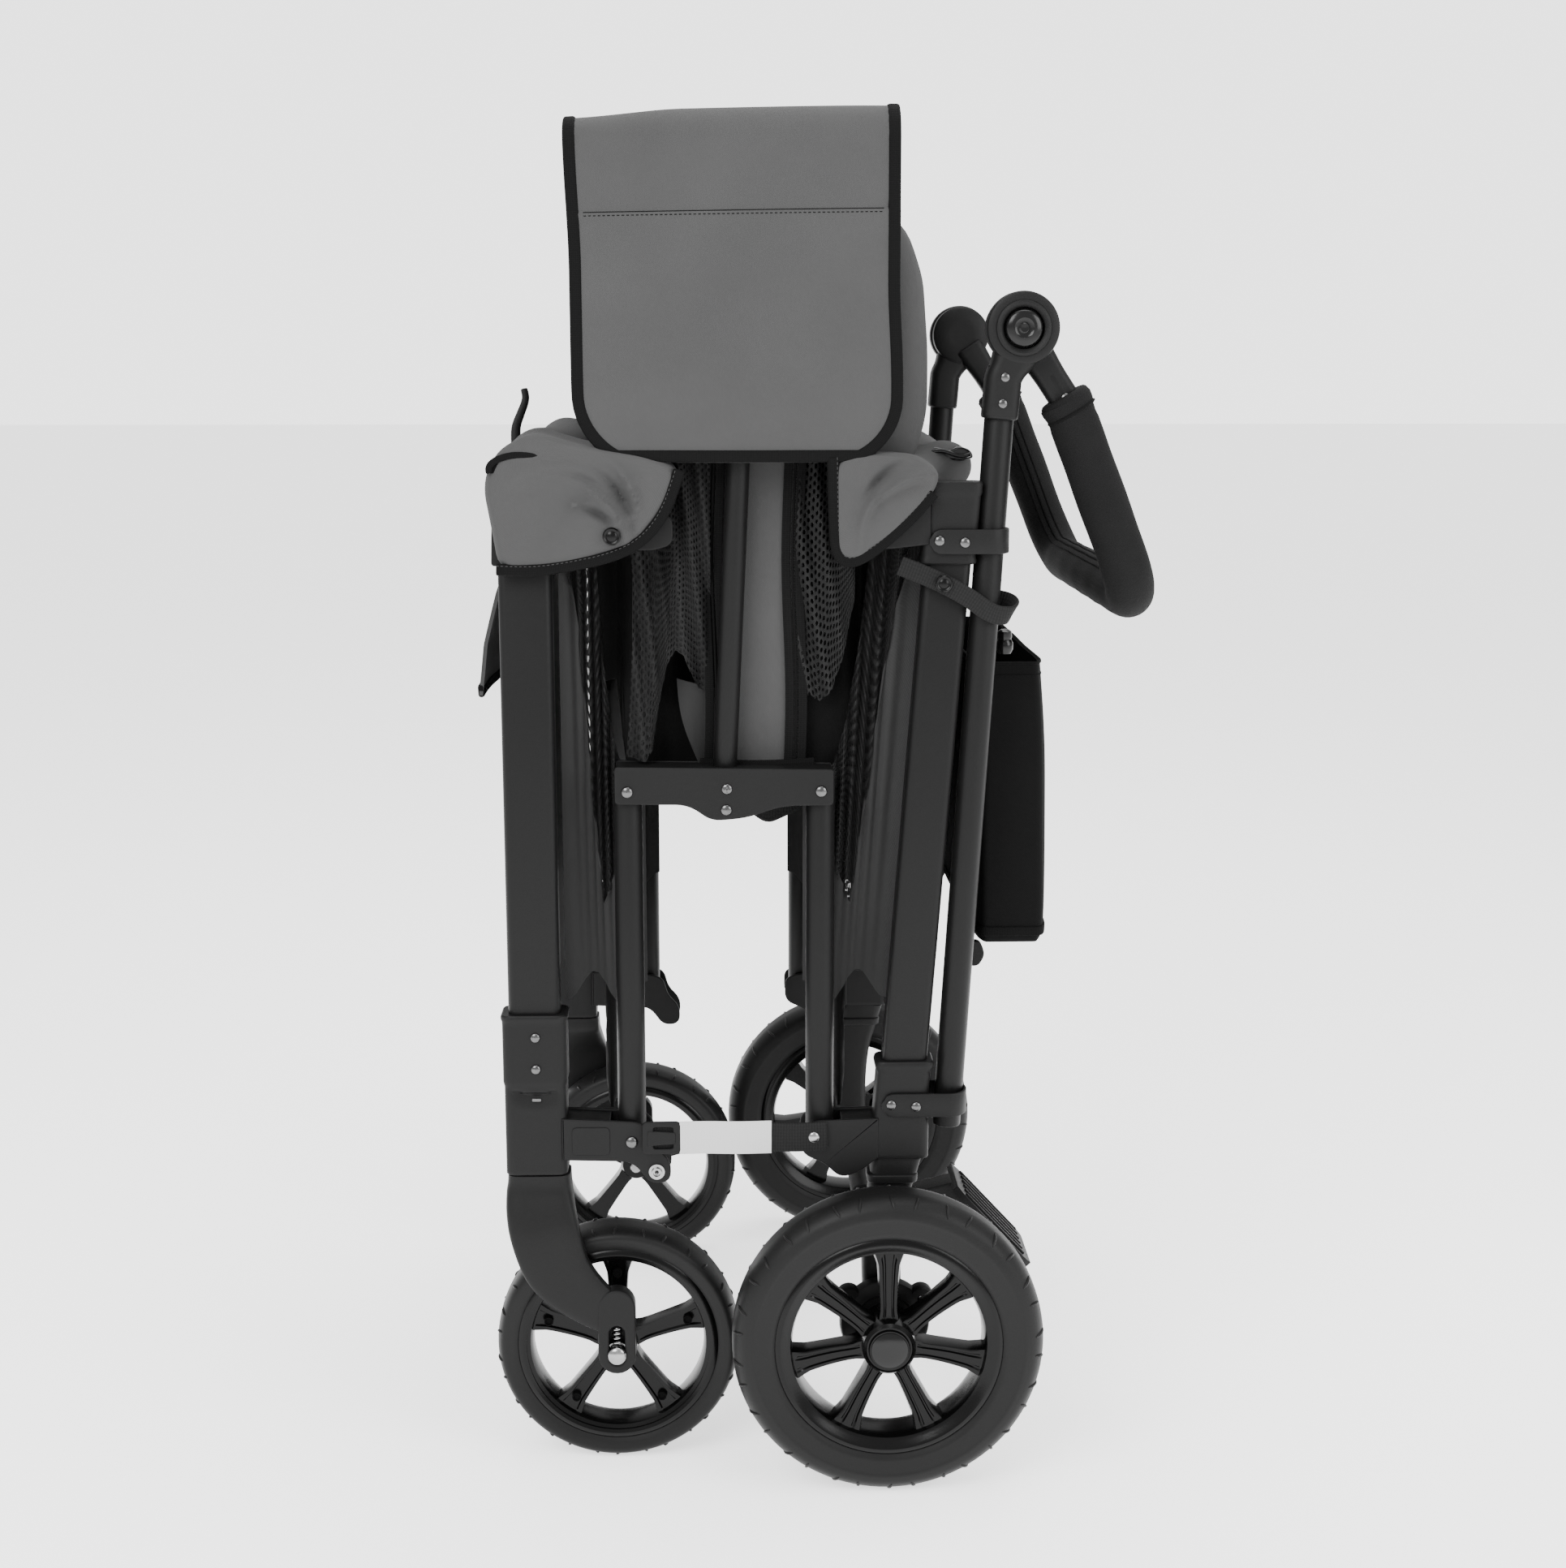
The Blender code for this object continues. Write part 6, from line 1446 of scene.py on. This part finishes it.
def floorPad(label, way):  # quilted pad: crowned both ways, pinched along a diamond of sewn lines
    body = f"{label}_link"
    low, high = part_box(f"{label}_floor")
    u, v = np.meshgrid(np.linspace(-1, 1, 90), np.linspace(-1, 1, 90), indexing="ij")
    halfY, centreX = high.y - 0.001, (low.x + high.x) / 2
    y, z = halfY * u, (low.z + high.z) / 2 + ((high.z - low.z) / 2 - 0.001) * v
    rim = np.clip(1 - np.abs(u) ** 16, 0, 1) ** 0.5 * np.clip(1 - np.abs(v) ** 16, 0, 1) ** 0.5
    rate = np.pi / 0.062
    lines = np.minimum(np.abs(np.sin((y + z) * rate)), np.abs(np.sin((y - z) * rate)))
    thick = (0.0052 + 0.0042 * np.clip(lines * 1.6, 0, 1) ** 0.5) * rim * 0.5 + 0.0012
    back = 0.0034 * rim + 0.0012
    pad = piece(f"{label}FloorPad", bag(space(centreX + way * thick, y, z),
                                        space(centreX - way * back, y, z)),
                "blackCloth", body, [f"{label}_floor"], 70)
    edge, foot, top = halfY - 0.002, low.z + 0.003, high.z - 0.003
    loop = roundCorners([(-edge, foot), (edge, foot), (edge, top), (-edge, top)], 0.012)
    y, z = resample(loop, 160, closed=True).T
    piping = sweep(space(centreX, y, z), ring(0.0024, 8), (1, 0, 0), closed=True)
    piece(f"{label}FloorPadPiping", piping, "binding", body)


pocketSizes = {"low": 0.4095, "high": 0.6350, "near": 0.1245, "far": 0.1820, "halfY": 0.1600, "cloth": 0.0022}


def rearPocket():
    # Sagging bag: rounded-box rings lofted up from the foot, over the hem and down inside
    size = pocketSizes
    low, high = size["low"], size["high"]
    outerZ = np.r_[np.linspace(low, low + 0.010, 6), np.linspace(low + 0.018, high, 44)]
    levels = np.r_[outerZ, np.linspace(high, low + 0.006, 40)]
    section = roundBox(2.0, 2.0, 0.25, 5, 14)
    a, b = section.T
    rows = []
    for k, z in enumerate(levels):
        share, inside = (z - low) / (high - low), k >= len(outerZ)
        foot = np.sqrt(np.clip((z - low + 0.0006) / 0.011, 0, 1))
        far = size["far"] - 0.0065 * share ** 2 + 0.0010 * np.sin(np.pi * share)
        depth = (far - size["near"]) / 2 * (0.86 + 0.14 * foot) - size["cloth"] * inside
        wide = size["halfY"] * (0.965 + 0.035 * foot) - size["cloth"] * inside
        wide = wide - 0.004 * ease((share - 0.6) / 0.4)
        y = b * wide
        push = 0.0055 * (1 - b ** 2) * np.sign(a) * (np.abs(a) > 0.9)
        x = (size["near"] + far) / 2 + a * depth + push * np.sin(np.pi * np.clip(share * 0.85, 0, 1))
        x = x + 0.0014 * wrinkles(y, z, 101, 7)
        y = y + 0.0016 * wrinkles(x, z * 0.7, 103, 7) * np.sign(b) * (np.abs(b) > 0.9)
        rows.append(space(x, y, z - 0.0030 * (1 - b ** 2) * (share > 0.5) * share))
    grid = np.stack(rows)
    cloth = piece("rearPocketBag", lattice(grid, closeV=True, caps=True), "blackCloth", "rear_frame",
                  ["rear_pocket"], 70)
    band = []
    for drop, radius in ((0.0010, 0.0013), (0.0085, 0.0006)):
        k = int(np.argmin(np.abs(outerZ - (high - drop))))
        band.append(sweep(grid[k], ring(radius, 6), (0, 0, 1), closed=True))
    band.append(sweep(grid[5], bar(0.003, 0.0075, 0.001), (0, 0, 1), closed=True))
    piece("rearPocketHem", band, "binding", "rear_frame")
    tag = roundCorners([(0.112, 0.392), (0.128, 0.388), (0.134, 0.398), (0.130, 0.410), (0.112, 0.409)],
                       0.005)
    for name, side in sides:
        piece(f"pocketTab_{name}", plate(tag, side * 0.146, side * 0.154, 0.001), "sparkPlastic",
              "rear_frame")


strapSizes = {"webbing": 0.0235, "length": 0.1436, "label": 0.0265, "labelLength": 0.0716, "back": -0.1405,
              "loop": 0.0145}


def foldStraps():
    # Folding strap on the near side: webbing, a folded white label and a side-release buckle
    low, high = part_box("fold_strap")
    size, outer, z = strapSizes, low.y, (low.z + high.z) / 2 + 0.0050
    t = np.linspace(-0.1400, 0.0035, 70)
    path = space(t, outer - 0.0002 + 0.0006 * np.sin(t * 90),
                 z - 0.004 * (t + 0.07) + 0.0006 * np.sin(t * 60))
    band = sweep(path, bar(0.0022, size["webbing"], 0.0008), (0, 0, 1), 0.0004)
    cloth = piece("foldStrapWebbing", band, "blackWebbing", "strap", ["fold_strap"])
    t = np.linspace(-0.1115, -0.0400, 30)
    path = space(t, outer - 0.0024 + 0.0006 * np.sin(t * 120), z + 0.0002 - 0.004 * (t + 0.07))
    label = sweep(path, bar(0.0009, size["label"], 0.0003), (0, 0, 1), 0.0002)
    cloth = piece("foldStrapLabel", label, "labelCloth", "strap")
    corner = (size["back"], z)
    edge = roundCorners([(0, -0.0130), (0.030, -0.0130), (0.030, 0.0135), (0, 0.0135)], 0.004, centre=corner)
    prong = roundCorners([(0.004, -0.0060), (0.026, -0.0045), (0.026, 0.0050), (0.004, 0.0065)], 0.002,
                         centre=corner)
    window = roundCorners([(0.0085, -0.0085), (0.0240, -0.0085), (0.0240, 0.0090), (0.0085, 0.0090)], 0.002,
                          centre=corner)
    parts = [plate(edge, outer - 0.0034, outer - 0.0006, 0.0009, window),
             plate(prong, outer - 0.0040, outer - 0.0014, 0.0008)]
    piece("foldStrapBuckle", parts, "sparkPlastic", "strap")
    place = (lowerRear[0] - 0.0051, outer - 0.0013, z - 0.0008)
    piece("foldStrapRivet", domes([place], (0, -1, 0), 0.0046, 0.0022), "platedSteel", "strap")


loopKeys = [(0.0560, 0.7180, 0.2262), (0.0720, 0.7120, 0.2290), (0.0900, 0.7040, 0.2300),
            (0.1080, 0.6940, 0.2292),
            (0.1240, 0.6820, 0.2270), (0.1380, 0.6790, 0.2220), (0.1440, 0.6830, 0.2120),
            (0.1420, 0.6880, 0.2020),
            (0.1300, 0.6900, 0.1965)]  # x, z and distance out


def retainingStrap(name, side):  # webbing loop from post round handle tube, its stud, a cord knob and a clip
    x, z, out = smoothPath(loopKeys, 60, 3).T
    path = space(x, side * out, z)
    wide = space(0.30 + 0.25 * ease((x - 0.1) / 0.04), 0.0, 0.95)
    strap = piece(f"retainingStrap_{name}", sweep(path, bar(0.0022, strapSizes["loop"], 0.0008), wide,
                                                  0.0004),
                  "blackWebbing", "rear_frame")
    piece(f"retainingStud_{name}", snap((0.0885, 0.7050), side, 0.2310, 0.0064), "rimPlastic", "rear_frame")
    knob = turned([(0.0, 0.0004), (0.001, 0.0050), (0.004, 0.0064), (0.009, 0.0066), (0.012, 0.0050),
                   (0.014, 0.0056), (0.018, 0.0052), (0.0195, 0.0030), (0.0196, 0.0004)],
                  (0.1400, side * 0.190, 0.6462), (0, 0, 1), 28)
    piece(f"pocketKnob_{name}", knob, "glossPlastic", "rear_frame")
    outline = roundCorners([(0.0790, 0.8010), (0.0870, 0.8035), (0.0960, 0.8000), (0.1050, 0.8040),
                            (0.1130, 0.8010), (0.1160, 0.7950), (0.1060, 0.7925), (0.0920, 0.7945),
                            (0.0830, 0.7930)], 0.003)
    line = space(np.linspace(0.081, 0.113, 20), side * 0.178, 0.7985 + 0.002 * np.sin(np.linspace(0, 6, 20)))
    piece(f"rimClip_{name}", [plate(outline, side * 0.150, side * 0.176, 0.0015),
                              sweep(line, bar(0.0032, 0.0050, 0.0012), rounding=0.001)],
          "glossPlastic", "rear_frame")


def pullTab():  # webbing tab under the centre channel
    tab = roundCorners([(0.014, -0.010), (0.012, -0.024), (0.034, -0.040), (0.064, -0.026), (0.066, -0.008)],
                       0.008, centre=middle)
    piece("centrePullTab", plate(tab, -0.150, -0.158, 0.0025), "blackWebbing", "centre_frame")


def rimToggle():  # tapered hook standing up behind the front cover
    hook = smoothPath([(-0.2400, 0.8020), (-0.2405, 0.8150), (-0.2360, 0.8260), (-0.2310, 0.8380),
                       (-0.2330, 0.8460)], 30)
    toggle = sweep(at(hook, -0.075), bar(0.0060, 0.0150, 0.0020), rounding=0.001,
                   scale=np.linspace(1.2, 0.8, 30)[:, None])
    piece("frontRimToggle", toggle, "sparkPlastic", "front_frame")


hood()
roofCloth("rearRoofCloth", "rear_rail", "rear_roof",
          [0.762, 0.785, 0.800, 0.830, 0.876, 0.927, 0.962, 0.972, 0.984, 0.999],
          [0.040, 0.062, 0.069, 0.0765, 0.0765, 0.0730, 0.061, 0.048, 0.0355, 0.034], 1, 0.2065)
roofCloth("frontRoofCloth", "front_rail", "front_roof",
          [0.762, 0.785, 0.800, 0.830, 0.876, 0.920, 0.940, 0.956, 0.999],
          [-0.146, -0.156, -0.163, -0.172, -0.176, -0.166, -0.146, -0.1340, -0.1335], -1, 0.1985)
valance()
print("hood and roof done")
rimCover("frontRimCover", "front_frame", frontCover)
rimCover("rearRimCover", "rear_frame", rearCover)
for sideName, sideSign in sides:
    rimDetails(sideName, sideSign)
for sideName, sideSign in sides:
    sideFans(sideName, sideSign)
    sideCloth(sideName, sideSign)
    strip(sideName, sideSign)
print("side cloth done")
endPanel("front", -1)
endPanel("rear", 1)
hangingFlap()
floorPad("rear", 1)
floorPad("front", -1)
rearPocket()
foldStraps()
pullTab()
for sideName, sideSign in sides:
    retainingStrap(sideName, sideSign)
rimToggle()
print("cloth done")

for bodyName, heads in rivetHeads.items():
    piece(f"rivets_{bodyName}", heads, "rivetSteel", bodyName)


stageSizes = {"floor": 60.0, "focal": 50.36, "sensor": 36.0, "camera": (-0.079, -1.855, 0.866),
              "pitch": 10.87, "yaw": 1.69, "glow": 1.35, "skyLight": 1.05, "skySeen": 2.8, "aim": (0, 0, 0.5)}
lamps = {"keyLight": {"place": (-1.3, -2.0, 2.3), "size": 1.6, "watts": 85.0},
         "fillLight": {"place": (1.9, -1.6, 1.5), "size": 1.4, "watts": 42.0},
         "topLight": {"place": (0.2, 0.3, 2.9), "size": 2.2, "watts": 70.0}}


def hold(name, data, place, way):  # a lamp or camera at a place, looking along a direction
    holder = bpy.data.objects.new(name, data)
    holder.location = place
    holder.rotation_euler = way.to_track_quat("-Z", "Y").to_euler()
    bpy.context.collection.objects.link(holder)
    return holder


def buildStage():
    size = stageSizes
    tree, shader, place, _ = startFinish("paleFloor", 0.9)
    shade(tree, shader, noise(tree, place, 1.3, 3.0), 0.92, 0.96)
    shader.inputs["Emission Color"].default_value = (1.0, 1.0, 1.0, 1.0)
    shader.inputs["Emission Strength"].default_value = size["glow"]
    line = np.linspace(-size["floor"] / 2, size["floor"] / 2, 9)
    x, y = np.meshgrid(line, line, indexing="ij")
    piece("studioFloor", lattice(space(x, y, 0.0)), "paleFloor", None)
    world = bpy.data.worlds.new("studio")
    bpy.context.scene.world = world
    world.use_nodes = True
    tree = world.node_tree
    sky = tree.nodes["Background"]
    sky.inputs["Color"].default_value = (1.0, 1.0, 1.0, 1.0)
    rays = tree.nodes.new("ShaderNodeLightPath")
    amount = addNode(tree, "ShaderNodeMapRange", {"Value": rays.outputs["Is Camera Ray"],
                                                  "To Min": size["skyLight"], "To Max": size["skySeen"]})
    tree.links.new(amount.outputs["Result"], sky.inputs["Strength"])
    for name, lamp in lamps.items():
        light = bpy.data.lights.new(name, "AREA")
        light.size, light.energy = lamp["size"], lamp["watts"]
        hold(name, light, lamp["place"], Vector(size["aim"]) - Vector(lamp["place"]))
    camera = bpy.data.cameras.new("camera")
    camera.lens, camera.sensor_width = size["focal"], size["sensor"]
    pitch, yaw = math.radians(size["pitch"]), math.radians(size["yaw"])
    way = Vector((math.sin(yaw) * math.cos(pitch), math.cos(yaw) * math.cos(pitch), -math.sin(pitch)))
    bpy.context.scene.camera = hold("camera", camera, size["camera"], way)


buildStage()
print("stage done")
